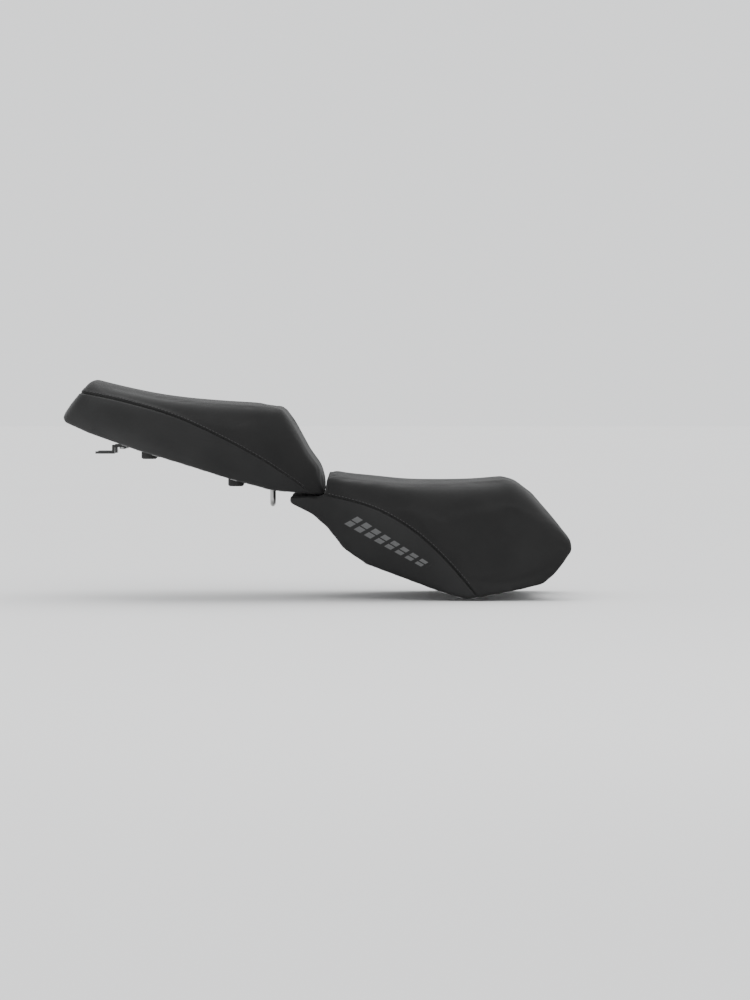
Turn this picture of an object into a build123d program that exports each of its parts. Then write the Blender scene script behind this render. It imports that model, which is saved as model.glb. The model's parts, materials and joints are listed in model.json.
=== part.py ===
"""Two-piece motorcycle seat: a rider seat and a raised passenger seat behind it.

Frame: +X forward, +Y to the rider's left, +Z up, in millimetres. The origin is the middle of the
rider seat's latch striker bar, which is where the motorcycle's lock holds the seat.

Each seat is a moulded foam core on a plastic pan, with a sewn cover that wraps under the pan's rim
and is stapled there. The soft body is lofted through stations. A station is a plane that holds one
point of the crown line, one point of the hem line and the Y direction, so the stations fan round
the raked ends of each seat.
"""

import os
from math import cos, hypot, radians, sin
from typing import NamedTuple

from build123d import *

os.makedirs("parts", exist_ok=True)

# ---------------------------------------------------------------- walls and gaps
COVER = 1.6  # sewn cover
SIDE_FOAM = 13.0  # foam between the cover and the pan's side wall
PAN = 3.0  # pan wall
RIM = 15.0  # pan's inward rim, which takes the staples
HEM = 27.0  # how far the cover turns in under the foam and the rim
PAN_SKIN = COVER + SIDE_FOAM  # from the seat's surface to the pan's side wall
RIB = 2.4  # rib thickness
RIB_DEPTH = 10.0  # rib height below the deck
RIB_PITCH = 56.0
SEAT_GAP = 3.0  # under the passenger seat's nose
SLIP = 0.5  # sideways room between pieces that turn past each other
RUNNING = 0.08  # radial clearance of a turning shaft

# ---------------------------------------------------------------- latch strikers
WIRE_R = 4.0
STRIKER_SPAN = 36.0  # between the leg axes
STRIKER_BEND = 10.0
PLATE = (30.0, 84.0, 3.0)
PLATE_LIFT = 26.0  # bar axis to the plate's lower face
PLATE_SCREW_SPAN = 64.0
RIDER_STRIKER = (0.0, 0.0)  # x, z of the bar
PASSENGER_STRIKER = (-114.0, 62.0)

# ---------------------------------------------------------------- screws, buffers, staples
SCREW_R = 2.5
SCREW_HEAD_R = 5.2
SCREW_HEAD = 3.0
SCREW_GRIP = 6.0  # thread length in the pan
SCREW_HOLE_R = 2.8
SOCKET_AF, SOCKET_DEPTH = 3.0, 1.8
BUFFER_R = 12.0
BUFFER_TALL = 12.0
BUFFER_STEM_R = 5.0
BUFFER_STEM = 6.0
BUFFER_BEVEL = 2.0
BUFFER_BOSS = 30.0
STAPLE = (10.0, 1.2, 0.8)  # crown length, wire width, wire thickness
STAPLE_LEG = 4.0
STAPLE_PITCH = 24.0
STAPLE_INSET = 21.0  # from the seat's side to the row of staples

# x, y, z of each buffer's seat on the pan
RIDER_BUFFERS = {
    "front_left": (214.0, 90.0, -26.0),
    "front_right": (214.0, -90.0, -26.0),
    "rear_left": (10.0, 84.0, 14.0),
    "rear_right": (10.0, -84.0, 14.0),
}
PASSENGER_BUFFERS = {
    "front_left": (-168.0, 78.0, 103.0),
    "front_right": (-168.0, -78.0, 103.0),
    "rear_left": (-300.0, 66.0, 144.0),
    "rear_right": (-300.0, -66.0, 144.0),
}

# ---------------------------------------------------------------- front height adjuster
CAM_AXIS = (150.0, -30.0)  # x, z
SHAFT_R = 5.0
CAM_LOW, CAM_HIGH = 13.0, 23.0  # axis to the low and the high rest faces
CAM_BACK = 12.0
CAM_WIDTH = 24.0
CAM_Y = 40.0
CAM_LUG_Y, CAM_LUG_WIDE, CAM_LUG_THICK = 66.0, 24.0, 8.0
CLIP_R, CLIP_THICK = 8.0, 1.2
LEVER_REACH, LEVER_THICK, LEVER_WIDE = 34.0, 9.0, 16.0

# ---------------------------------------------------------------- rear height adjuster
BAIL_AXIS = (52.0, -4.0)  # x, z
BAIL_R = 3.5
BAIL_ARM = 30.0
BAIL_Y = 66.0  # arm axis
BAIL_BEND = 9.0
BAIL_LUG_WIDE, BAIL_LUG_THICK = 20.0, 8.0
SLEEVE_R = 7.5
SLEEVE_LENGTH = 40.0
SLEEVE_Y = 32.0

# ---------------------------------------------------------------- front hooks, rear tongues
HOOK_WIDE, METAL = 26.0, 3.5
HOOK_AT = (206.0, 58.0, -30.0)  # rear edge, middle and upper face of the foot
HOOK_FOOT, HOOK_DROP, HOOK_REACH = 28.0, 26.0, 30.0
TONGUE_AT = (-330.0, 34.0, 153.0)
TONGUE_FOOT, TONGUE_DROP, TONGUE_REACH = 28.0, 10.0, 26.0

# ---------------------------------------------------------------- overall widths
RIDER_WIDTH = 356.0  # between the handles of the widest waist
PASSENGER_WIDTH = 364.0


class Station(NamedTuple):
    """One cross-section of a seat. Widths are half widths."""

    crown: tuple  # x, z of the crown line
    hem: tuple  # x, z of the hem line
    hem_w: float
    waist_w: float
    crown_w: float
    corner: float  # rounding of the crown edge
    deck: float  # height of the pan's deck above the hem
    waist: float = 0.5  # height of the waist, as a share of the station
    dome: float = 5.0  # rise of the crown in the middle


class End(NamedTuple):
    """Rounding of a seat's end: how far it bulges out and how far each edge draws in."""

    bulge: float
    crown: float
    side: float
    hem: float


def at_width(stations, width):
    """The stations with all their widths scaled, so that the widest waist handles are width apart."""
    share = width / 2 / max(station.waist_w for station in stations)
    return [
        station._replace(
            hem_w=station.hem_w * share,
            waist_w=station.waist_w * share,
            crown_w=station.crown_w * share,
        )
        for station in stations
    ]


RIDER_STATIONS = [
    Station((-85, 111.5), (-85, 66), 112, 118, 112, 14, 6.5),
    Station((-50, 110), (-52, 50), 122, 134, 126, 13, 14),
    Station((-23, 107.5), (-29, 30), 128, 148, 138, 12, 28),
    Station((0, 103.5), (-4, -2), 131, 164, 148, 12, 46),
    Station((40, 100.3), (30, -25), 137, 178, 160, 14, 54),
    Station((90, 97.2), (90, -47), 146, 172, 164, 24, 64, 0.45),
    Station((140, 95.6), (140, -65.5), 153, 150, 158, 40, 75, 0.45),
    Station((190, 96), (180, -77), 157, 132, 144, 48, 83, 0.45),
    Station((230, 99.2), (220, -70), 157, 122, 126, 48, 77, 0.45),
    Station((250, 100.5), (262, -62), 153, 120, 116, 44, 69, 0.45),
    Station((270, 86), (295, -54), 148, 124, 112, 40, 57),
    Station((296, 58), (314, -38), 142, 130, 118, 26, 42),
    Station((320, 32), (328, -20), 136, 132, 124, 14, 26),
    Station((335, 14), (337, -7), 128, 128, 122, 6, 12, 0.5, 2),
]
RIDER = at_width(RIDER_STATIONS, RIDER_WIDTH)
RIDER_TAIL, RIDER_NOSE = End(3, 2, 10, 1), End(4, 3, 8, 3)

PASSENGER_STATIONS = [
    Station((-371.5, 247.2), (-421, 186), 62, 108, 84, 16, 15),
    Station((-335, 237.5), (-385, 170), 88, 140, 112, 18, 15, 0.45),
    Station((-290, 226.6), (-320, 147), 108, 168, 134, 18, 15, 0.45),
    Station((-240, 220), (-250, 126), 118, 180, 144, 18, 15, 0.45),
    Station((-185, 215.7), (-180, 104), 122, 182, 146, 17, 15, 0.45),
    Station((-140, 213.2), (-112, 85.5), 124, 176, 144, 16, 15, 0.45),
    Station((-104, 210.8), (-36, 79), 126, 168, 140, 15, 15, 0.45),
]
PASSENGER = at_width(PASSENGER_STATIONS, PASSENGER_WIDTH)
PASSENGER_TAIL, PASSENGER_NOSE = End(12, 12, 34, 14), End(14, 12, 22, 26)

ROUND_STEPS = (30, 55, 78)  # degrees round an end at which it has sections
NOTCH_X, NOTCH_RX, NOTCH_RY = 362.0, 62.0, 88.0  # ellipse that the fuel tank fills
NOSE_CURVE = 14.0  # rounding of the room for the passenger seat's nose
NOSE_SWING = 9.0  # how far the nose bulges and swings in front of its hem

RIDER_SEAM = [(-120, 92), (-30, 79), (57, 53), (108, 20.4), (170, -41.4), (206, -86)]
RIDER_SEAM_Y = 80.0  # the rider side panels start here
PASSENGER_SEAM_Y = 0.0  # the passenger side panels meet at the back
PASSENGER_SEAM = [
    (-460, 240), (-385, 230), (-320, 216), (-250.8, 195),
    (-182.5, 163.5), (-102, 116.3), (-62.2, 87), (-40, 66),
]


def station_plane(crown, hem, shift=0.0):
    """Plane of a station: its X is the seat's width and its Y runs from hem to crown."""
    rise = Vector(crown[0] - hem[0], 0, crown[1] - hem[1]).normalized()
    forward = Vector(0, 1, 0).cross(rise)
    origin = Vector(hem[0], 0, hem[1]) + forward * shift
    return Plane(origin=origin, x_dir=(0, 1, 0), z_dir=forward)


def draw_section(plane, hem_w, waist_w, crown_w, low, waist, high, corner, dome):
    """Closed outline of one section: flat hem, waisted sides, soft corners and domed crown."""
    edge, top = (crown_w, high), (0, high + 2 * dome)

    def towards(start, end):
        share = min(0.6, corner / hypot(end[0] - start[0], end[1] - start[1]))
        return (start[0] + (end[0] - start[0]) * share, start[1] + (end[1] - start[1]) * share)

    side_end, dome_end = towards(edge, (waist_w, waist)), towards(edge, top)
    with BuildSketch(plane) as section:
        with BuildLine():
            for side in (1, -1):
                hem, waist_at, turn, crown_at, tip = (
                    (side * x, y)
                    for x, y in ((hem_w, low), (waist_w, waist), side_end, edge, dome_end)
                )
                Bezier(hem, waist_at, turn)
                Bezier(turn, crown_at, tip)
            Bezier(dome_end, top, (-dome_end[0], dome_end[1]))
            Line((-hem_w, low), (hem_w, low))
        make_face()
    return section.sketch


def seat_body(stations, tail, nose, skin=0.0, floor=0.0, roof=None):
    """Solid of a seat. skin insets the crown, sides and ends, and floor raises the hem. With roof,
    the solid ends at the pan's deck, lowered by roof."""
    rings = [(stations[0], tail, angle, -1) for angle in reversed(ROUND_STEPS)]
    rings += [(station, tail, 0, 0) for station in stations]
    rings += [(stations[-1], nose, angle, 1) for angle in ROUND_STEPS]
    with BuildPart() as body:
        for station, end, angle, way in rings:
            height = hypot(station.crown[0] - station.hem[0], station.crown[1] - station.hem[1])
            draw = 1 - cos(radians(angle))
            inset = skin + draw * max(end.side - skin, 1)
            low = floor + draw * max(end.hem - skin, 0)
            high = height - skin - draw * max(end.crown - skin, 0)
            waist, waist_w, crown_w = height * station.waist, station.waist_w, station.crown_w
            corner, dome = max(station.corner - skin, 3), station.dome
            if roof is not None:
                high = max(min(station.deck - roof, high), low + 0.4)
                share = min(high / waist, 1)
                crown_w = station.hem_w + (waist_w - station.hem_w) * share
                waist_w, waist = (station.hem_w + crown_w) / 2, (low + high) / 2
                corner, dome = 4, 0
            bulge = way * max(end.bulge - skin, 0.5) * sin(radians(angle))
            add(
                draw_section(
                    station_plane(station.crown, station.hem, bulge),
                    station.hem_w - inset, waist_w - inset, crown_w - inset,
                    low, waist, high, corner, dome,
                )
            )
        loft(ruled=True)
        for station, end, keep, way in (
            (stations[0], tail, Keep.TOP, -1),
            (stations[-1], nose, Keep.BOTTOM, 1),
        ):
            if skin > end.bulge:
                cut = station_plane(station.crown, station.hem, way * (end.bulge - skin))
                split(bisect_by=cut, keep=keep)
    return body.part


def slab(outline, low_y, high_y):
    """Prism from low_y to high_y over a sketch drawn on the XZ plane."""
    with BuildPart() as prism:
        extrude(outline, amount=low_y - high_y)
    return Pos(0, low_y, 0) * prism.part


def below_curve(points, depth):
    """Sketch on the XZ plane of all that is under a smooth curve, down to depth."""
    with BuildSketch(Plane.XZ) as region:
        with BuildLine():
            Spline(points)
            Polyline(points[-1], (points[-1][0], depth), (points[0][0], depth), points[0])
        make_face()
    return region.sketch


def nose_room(skin=0.0):
    """Room cut from the rider seat's tail for the passenger seat's nose, grown by skin. It opens
    upwards and forwards so that the nose can swing up out of it."""
    foot_x, foot_z = PASSENGER[-1].hem
    front, under, back = foot_x + NOSE_SWING + skin, foot_z - SEAT_GAP - skin, foot_x - 150
    with BuildSketch(Plane.XZ) as room:
        with BuildLine():
            Polyline(
                (back, under + 24), (foot_x - 58, under), (front, under - 2),
                (front, foot_z + 160), (back, foot_z + 160), close=True,
            )
        make_face()
        fillet(room.vertices().sort_by(Axis.Y)[0], radius=NOSE_CURVE + skin)
    return slab(room.sketch, -200, 200)


def tank_notch(skin=0.0):
    """Room at the seat's nose for the back of the fuel tank, grown by skin."""
    with BuildPart() as notch:
        with BuildSketch(Plane.XY.offset(-150)):
            with Locations((NOTCH_X, 0)):
                Ellipse(NOTCH_RX + skin, NOTCH_RY + skin)
        extrude(amount=300)
    return notch.part


def raised(box_x, box_y, box_z):
    """Box from the low to the high value of each axis."""
    size = [high - low for low, high in (box_x, box_y, box_z)]
    with BuildPart() as block:
        Box(*size, align=(Align.MIN, Align.MIN, Align.MIN))
    return Pos(box_x[0], box_y[0], box_z[0]) * block.part


def around(middle, width):
    """Low and high values of a width about its middle."""
    return (middle - width / 2, middle + width / 2)


def drill(x, y, low, high, radius):
    """Upright cylinder."""
    with BuildPart() as bore:
        Cylinder(radius, high - low, align=(Align.CENTER, Align.CENTER, Align.MIN))
    return Pos(x, y, low) * bore.part


def cross_bore(x, z, low_y, high_y, radius):
    """Cylinder along Y."""
    with BuildPart() as bore:
        Cylinder(radius, high_y - low_y, align=(Align.CENTER, Align.CENTER, Align.MIN))
    return Pos(x, low_y, z) * Rot(-90, 0, 0) * bore.part


def cap_screws(spots, seat_z):
    """Button-head screws, head below seat_z, with a hexagon socket. spots are x, y pairs."""
    with BuildPart() as screws:
        with Locations(*[(x, y, seat_z - SCREW_HEAD) for x, y in spots]):
            Cylinder(SCREW_HEAD_R, SCREW_HEAD, align=(Align.CENTER, Align.CENTER, Align.MIN))
        chamfer(screws.edges().filter_by(GeomType.CIRCLE).group_by(Axis.Z)[0], 1.2)
        with Locations(*[(x, y, seat_z) for x, y in spots]):
            Cylinder(SCREW_R, METAL + SCREW_GRIP, align=(Align.CENTER, Align.CENTER, Align.MIN))
        with BuildSketch(Plane.XY.offset(seat_z - SCREW_HEAD)):
            with Locations(*spots):
                RegularPolygon(SOCKET_AF / 2, 6, major_radius=False)
        extrude(amount=SOCKET_DEPTH, mode=Mode.SUBTRACT)
    return screws.part


def rib_grid(block):
    """Crossing upright walls over the whole of a pan."""
    bounds = block.bounding_box()
    middle = (bounds.min.X + bounds.max.X) / 2
    long_count = int(bounds.size.Y / 2 / RIB_PITCH)
    cross_count = int(bounds.size.X / 2 / RIB_PITCH)
    with BuildPart() as grid:
        for step in range(-long_count, long_count + 1):
            with Locations((middle, step * RIB_PITCH, 50)):
                Box(bounds.size.X, RIB, 600)
        for step in range(-cross_count, cross_count + 1):
            with Locations((middle + step * RIB_PITCH, 0, 50)):
                Box(RIB, bounds.size.Y, 600)
    return grid.part


def pan_shell(block, hollow, opening, mid_wall, low_hollow, blocks, holes):
    """Pan: a hollow block with an open floor, ribs and raised blocks under the deck, and holes.
    The ribs and blocks end in the middle of the wall."""
    ribs = mid_wall & rib_grid(block)
    if low_hollow:
        ribs = ribs - low_hollow
    with BuildPart() as pan:
        add(block - hollow - opening)
        add(ribs)
        for raised_block in blocks:
            add(raised_block & mid_wall)
        for hole in holes:
            add(hole, mode=Mode.SUBTRACT)
    return pan.part


def plate_screw_spots(striker):
    """x, y of the striker plate's screws."""
    return [(striker[0], side * PLATE_SCREW_SPAN / 2) for side in (-1, 1)]


def striker_blocks(striker):
    """Raised block of the pan over a striker plate."""
    low = striker[1] + PLATE_LIFT + PLATE[2]
    return [raised(around(striker[0], PLATE[0]), around(0, PLATE[1]), (low, low + 40))]


def striker_holes(striker):
    """Room in the ribs for a striker plate, and screw holes in the block over it."""
    low = striker[1] + PLATE_LIFT + PLATE[2]
    room = raised(around(striker[0], PLATE[0] + 4), around(0, PLATE[1] + 4), (low - 40, low))
    screws = [
        drill(x, y, low - 1, low + SCREW_GRIP + 1, SCREW_R) for x, y in plate_screw_spots(striker)
    ]
    return [room] + screws


def striker_plate(striker):
    """Plate that carries a striker loop."""
    low = striker[1] + PLATE_LIFT
    with BuildPart() as plate:
        with Locations((striker[0], 0, low + PLATE[2] / 2)):
            Box(*PLATE)
        fillet(plate.edges().filter_by(Axis.Z), 6)
        with Locations(*[(x, y, low) for x, y in plate_screw_spots(striker)]):
            Cylinder(SCREW_HOLE_R, 4 * PLATE[2], mode=Mode.SUBTRACT)
        with Locations(*[(striker[0], side * STRIKER_SPAN / 2, low) for side in (-1, 1)]):
            Cylinder(WIRE_R, 4 * PLATE[2], mode=Mode.SUBTRACT)
    return plate.part


def striker_loop(striker):
    """Round-wire loop with its legs welded through the plate."""
    x, z = striker
    top = z + PLATE_LIFT + PLATE[2]
    half = STRIKER_SPAN / 2
    with BuildPart() as loop:
        with BuildLine() as path:
            FilletPolyline(
                (x, -half, top), (x, -half, z), (x, half, z), (x, half, top), radius=STRIKER_BEND
            )
        with BuildSketch(Plane(origin=path.line @ 0, z_dir=path.line % 0)):
            Circle(WIRE_R)
        sweep(path=path.line)
    return loop.part


def buffer_blocks(spots):
    """Raised block of the pan over each rubber buffer."""
    return [
        raised(around(x, BUFFER_BOSS), around(y, BUFFER_BOSS), (z, z + 90))
        for x, y, z in spots.values()
    ]


def buffer_holes(spots):
    """Holes for the buffers' stems."""
    return [drill(x, y, z - 1, z + BUFFER_STEM, BUFFER_STEM_R) for x, y, z in spots.values()]


def rubber_buffer(spot):
    """Rubber foot with a stem that is pressed into the pan."""
    x, y, z = spot
    with BuildPart() as rubber:
        with Locations((x, y, z - BUFFER_TALL)):
            Cylinder(BUFFER_R, BUFFER_TALL, align=(Align.CENTER, Align.CENTER, Align.MIN))
        chamfer(rubber.edges().filter_by(GeomType.CIRCLE).group_by(Axis.Z)[0], BUFFER_BEVEL)
        with Locations((x, y, z)):
            Cylinder(BUFFER_STEM_R, BUFFER_STEM, align=(Align.CENTER, Align.CENTER, Align.MIN))
    return rubber.part


def bracket_screw_spots(at, foot, side, way):
    """x, y of the two screws in a bracket's foot."""
    return [(at[0] + way * foot * 0.42, side * at[1] + across) for across in (-7, 7)]


def bracket_block(at, foot, side, way):
    """Raised block of the pan over a bracket's foot."""
    span = sorted((at[0], at[0] + way * (foot - METAL)))
    return raised(span, around(side * at[1], HOOK_WIDE + 2), (at[2], at[2] + 90))


def bracket_holes(at, foot, side, way):
    """Screw holes in the block over a bracket's foot."""
    spots = bracket_screw_spots(at, foot, side, way)
    return [drill(x, y, at[2] - 1, at[2] + SCREW_GRIP + 1, SCREW_R) for x, y in spots]


def bracket(at, foot, drop, reach, side, way):
    """Z-shaped sheet-metal bracket: foot screwed to the pan, drop, and blade along way."""
    x, y, z = at
    low = z - drop
    with BuildPart() as metal:
        with BuildSketch(Plane.XZ.offset(-side * y)):
            with BuildLine():
                Polyline(
                    (x, z), (x + way * foot, z), (x + way * foot, low),
                    (x + way * (foot + reach), low), (x + way * (foot + reach), low - METAL),
                    (x + way * (foot - METAL), low - METAL), (x + way * (foot - METAL), z - METAL),
                    (x, z - METAL), close=True,
                )
            make_face()
        extrude(amount=HOOK_WIDE / 2, both=True)
        inner_bends = metal.edges().filter_by(Axis.Y).filter_by(
            lambda edge: abs(edge.center().X - x - way * foot) < 1
            and abs(edge.center().Z - low) < 1
        )
        fillet(inner_bends, METAL * 0.6)
        tip = metal.edges().filter_by(Axis.Z).filter_by(
            lambda edge: abs(edge.center().X - x - way * (foot + reach)) < 1
        )
        fillet(tip, HOOK_WIDE * 0.3)
        with Locations(*[(sx, sy, z) for sx, sy in bracket_screw_spots(at, foot, side, way)]):
            Cylinder(SCREW_HOLE_R, 4 * METAL, mode=Mode.SUBTRACT)
    return metal.part


def hem_point(stations, place, inset):
    """Point of the hem face at a place along the stations, with the tangent and the rise there."""
    index = min(int(place), len(stations) - 2)
    share = place - index
    low, high = stations[index], stations[index + 1]

    def mix(a, b):
        return a + (b - a) * share

    x, z = mix(low.hem[0], high.hem[0]), mix(low.hem[1], high.hem[1])
    along = Vector(high.hem[0] - low.hem[0], 0, high.hem[1] - low.hem[1]).normalized()
    return Vector(x, mix(low.hem_w, high.hem_w) - inset, z), along


def staple_row(stations, first, last):
    """Staples along both sides of a hem, from one station number to another."""
    length, width, thick = STAPLE
    with BuildPart() as one:
        Box(length, width, thick, align=(Align.CENTER, Align.CENTER, Align.MAX))
        with Locations((-(length - width) / 2, 0, 0), ((length - width) / 2, 0, 0)):
            Box(width, width, STAPLE_LEG, align=(Align.CENTER, Align.CENTER, Align.MIN))
    with BuildPart() as row:
        place, travelled = first, 0.0
        before, _ = hem_point(stations, place, STAPLE_INSET)
        while place < last:
            spot, along = hem_point(stations, place, STAPLE_INSET)
            travelled += (spot - before).length
            before = spot
            if travelled >= STAPLE_PITCH:
                travelled = 0.0
                for side in (-1, 1):
                    origin = (spot.X, side * spot.Y, spot.Z)
                    frame = Plane(origin=origin, x_dir=along, z_dir=along.cross(Vector(0, 1, 0)))
                    add(frame.location * one.part)
            place += 0.02
    return row.part


SIDES = {"left": 1, "right": -1}
RIDER_SHAPE = (RIDER, RIDER_TAIL, RIDER_NOSE)
PASSENGER_SHAPE = (PASSENGER, PASSENGER_TAIL, PASSENGER_NOSE)

# ---------------------------------------------------------------- rider seat: cover
rider_skin = seat_body(*RIDER_SHAPE) - nose_room() - tank_notch()
rider_core = seat_body(*RIDER_SHAPE, skin=COVER, floor=COVER) - nose_room(COVER) - tank_notch(COVER)
rider_hem = seat_body(*RIDER_SHAPE, skin=HEM, floor=-1, roof=0) - tank_notch(HEM)
rider_shell = rider_skin - rider_core - rider_hem
rider_sides = {
    name: slab(below_curve(RIDER_SEAM, -150), *sorted((side * RIDER_SEAM_Y, side * 220)))
    for name, side in SIDES.items()
}

with BuildPart() as rider_cover_top:
    add(rider_shell)
    for region in rider_sides.values():
        add(region, mode=Mode.SUBTRACT)
rider_cover_top.part.label = "rider_cover_top"
export_step(rider_cover_top.part, "parts/rider_cover_top.step")

with BuildPart() as rider_cover_side_left:
    add(rider_shell)
    add(rider_sides["left"], mode=Mode.INTERSECT)
rider_cover_side_left.part.label = "rider_cover_side_left"
export_step(rider_cover_side_left.part, "parts/rider_cover_side_left.step")

with BuildPart() as rider_cover_side_right:
    add(rider_shell)
    add(rider_sides["right"], mode=Mode.INTERSECT)
rider_cover_side_right.part.label = "rider_cover_side_right"
export_step(rider_cover_side_right.part, "parts/rider_cover_side_right.step")

# ---------------------------------------------------------------- rider seat: foam and pan
rider_block = seat_body(*RIDER_SHAPE, skin=PAN_SKIN, floor=COVER, roof=0) - tank_notch(PAN_SKIN)
rider_hollow = seat_body(
    *RIDER_SHAPE, skin=PAN_SKIN + PAN, floor=COVER + PAN, roof=PAN
) - tank_notch(PAN_SKIN + PAN)
rider_mid_wall = seat_body(
    *RIDER_SHAPE, skin=PAN_SKIN + PAN / 2, floor=COVER + PAN / 2, roof=PAN / 2
) - tank_notch(PAN_SKIN + PAN / 2)
rider_low_hollow = seat_body(
    *RIDER_SHAPE, skin=PAN_SKIN + PAN + 0.4, floor=COVER, roof=PAN + RIB_DEPTH
)
rider_opening = seat_body(
    *RIDER_SHAPE, skin=PAN_SKIN + RIM, floor=-1, roof=2.2 * PAN
) - tank_notch(PAN_SKIN + RIM)

with BuildPart() as rider_foam:
    add(rider_core)
    add(rider_block, mode=Mode.SUBTRACT)
rider_foam.part.label = "rider_foam"
export_step(rider_foam.part, "parts/rider_foam.step")

cam_lugs = [
    raised(
        around(CAM_AXIS[0], CAM_LUG_WIDE),
        around(side * CAM_LUG_Y, CAM_LUG_THICK),
        (CAM_AXIS[1] - CAM_LUG_WIDE / 2, CAM_AXIS[1] + 90),
    )
    for side in SIDES.values()
]
bail_lug_y = BAIL_Y + BAIL_BEND + BAIL_R + BAIL_LUG_THICK / 2
bail_lugs = [
    raised(
        around(BAIL_AXIS[0], BAIL_LUG_WIDE),
        around(side * bail_lug_y, BAIL_LUG_THICK),
        (BAIL_AXIS[1] - BAIL_LUG_WIDE / 2, BAIL_AXIS[1] + 90),
    )
    for side in SIDES.values()
]
hook_blocks = [bracket_block(HOOK_AT, HOOK_FOOT, side, 1) for side in SIDES.values()]
hook_holes = [
    hole for side in SIDES.values() for hole in bracket_holes(HOOK_AT, HOOK_FOOT, side, 1)
]

with BuildPart() as rider_pan:
    add(
        pan_shell(
            rider_block, rider_hollow, rider_opening, rider_mid_wall, rider_low_hollow,
            striker_blocks(RIDER_STRIKER) + buffer_blocks(RIDER_BUFFERS)
            + cam_lugs + bail_lugs + hook_blocks,
            striker_holes(RIDER_STRIKER) + buffer_holes(RIDER_BUFFERS) + hook_holes
            + [
                cross_bore(*CAM_AXIS, -100, 100, SHAFT_R + RUNNING),
                cross_bore(*BAIL_AXIS, -100, 100, BAIL_R + RUNNING),
            ],
        )
    )
rider_pan.part.label = "rider_pan"
export_step(rider_pan.part, "parts/rider_pan.step")

with BuildPart() as rider_staples:
    add(staple_row(RIDER, 0.8, len(RIDER) - 1.9))
rider_staples.part.label = "rider_staples"
export_step(rider_staples.part, "parts/rider_staples.step")

# ---------------------------------------------------------------- rider seat: latch striker
with BuildPart() as rider_striker_plate:
    add(striker_plate(RIDER_STRIKER))
rider_striker_plate.part.label = "rider_striker_plate"
export_step(rider_striker_plate.part, "parts/rider_striker_plate.step")

with BuildPart() as rider_striker_loop:
    add(striker_loop(RIDER_STRIKER))
rider_striker_loop.part.label = "rider_striker_loop"
export_step(rider_striker_loop.part, "parts/rider_striker_loop.step")

with BuildPart() as rider_striker_screws:
    add(cap_screws(plate_screw_spots(RIDER_STRIKER), RIDER_STRIKER[1] + PLATE_LIFT))
rider_striker_screws.part.label = "rider_striker_screws"
export_step(rider_striker_screws.part, "parts/rider_striker_screws.step")

# ---------------------------------------------------------------- rider seat: buffers
with BuildPart() as rider_buffer_front_left:
    add(rubber_buffer(RIDER_BUFFERS["front_left"]))
rider_buffer_front_left.part.label = "rider_buffer_front_left"
export_step(rider_buffer_front_left.part, "parts/rider_buffer_front_left.step")

with BuildPart() as rider_buffer_front_right:
    add(rubber_buffer(RIDER_BUFFERS["front_right"]))
rider_buffer_front_right.part.label = "rider_buffer_front_right"
export_step(rider_buffer_front_right.part, "parts/rider_buffer_front_right.step")

with BuildPart() as rider_buffer_rear_left:
    add(rubber_buffer(RIDER_BUFFERS["rear_left"]))
rider_buffer_rear_left.part.label = "rider_buffer_rear_left"
export_step(rider_buffer_rear_left.part, "parts/rider_buffer_rear_left.step")

with BuildPart() as rider_buffer_rear_right:
    add(rubber_buffer(RIDER_BUFFERS["rear_right"]))
rider_buffer_rear_right.part.label = "rider_buffer_rear_right"
export_step(rider_buffer_rear_right.part, "parts/rider_buffer_rear_right.step")

# ---------------------------------------------------------------- rider seat: front hooks
with BuildPart() as front_hook_left:
    add(bracket(HOOK_AT, HOOK_FOOT, HOOK_DROP, HOOK_REACH, 1, 1))
front_hook_left.part.label = "front_hook_left"
export_step(front_hook_left.part, "parts/front_hook_left.step")

with BuildPart() as front_hook_right:
    add(bracket(HOOK_AT, HOOK_FOOT, HOOK_DROP, HOOK_REACH, -1, 1))
front_hook_right.part.label = "front_hook_right"
export_step(front_hook_right.part, "parts/front_hook_right.step")

with BuildPart() as front_hook_screws:
    for hook_side in SIDES.values():
        add(cap_screws(bracket_screw_spots(HOOK_AT, HOOK_FOOT, hook_side, 1), HOOK_AT[2] - METAL))
front_hook_screws.part.label = "front_hook_screws"
export_step(front_hook_screws.part, "parts/front_hook_screws.step")

# ---------------------------------------------------------------- front height adjuster
lug_out = CAM_LUG_Y + CAM_LUG_THICK / 2 + SLIP
lever_y = lug_out + CLIP_THICK + 4


def height_cam(side):
    """Cam block with a low rest face below the shaft and a high one in front of it."""
    x, z = CAM_AXIS
    with BuildPart() as cam:
        with BuildSketch(Plane.XZ.offset(-side * CAM_Y)):
            with BuildLine():
                Polyline(
                    (x - CAM_BACK, z - CAM_LOW), (x + CAM_LOW, z - CAM_LOW),
                    (x + CAM_HIGH, z - CAM_BACK + 1), (x + CAM_HIGH, z + CAM_BACK - 1),
                    (x + CAM_LOW, z + CAM_BACK), (x - CAM_BACK, z + CAM_BACK), close=True,
                )
            make_face()
            with Locations((x, z)):
                Circle(SHAFT_R, mode=Mode.SUBTRACT)
        extrude(amount=CAM_WIDTH / 2, both=True)
        outer = cam.edges().filter_by(Axis.Y).filter_by(
            lambda edge: edge.geom_type == GeomType.LINE
            and hypot(edge.center().X - x, edge.center().Z - z) > SHAFT_R + 2
        )
        fillet(outer, 2.5)
    return cam.part


with BuildPart() as cam_shaft:
    add(cross_bore(*CAM_AXIS, -lug_out - CLIP_THICK - 3, lever_y + LEVER_THICK, SHAFT_R))
cam_shaft.part.label = "cam_shaft"
export_step(cam_shaft.part, "parts/cam_shaft.step")

with BuildPart() as height_cam_left:
    add(height_cam(1))
height_cam_left.part.label = "height_cam_left"
export_step(height_cam_left.part, "parts/height_cam_left.step")

with BuildPart() as height_cam_right:
    add(height_cam(-1))
height_cam_right.part.label = "height_cam_right"
export_step(height_cam_right.part, "parts/height_cam_right.step")

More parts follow.
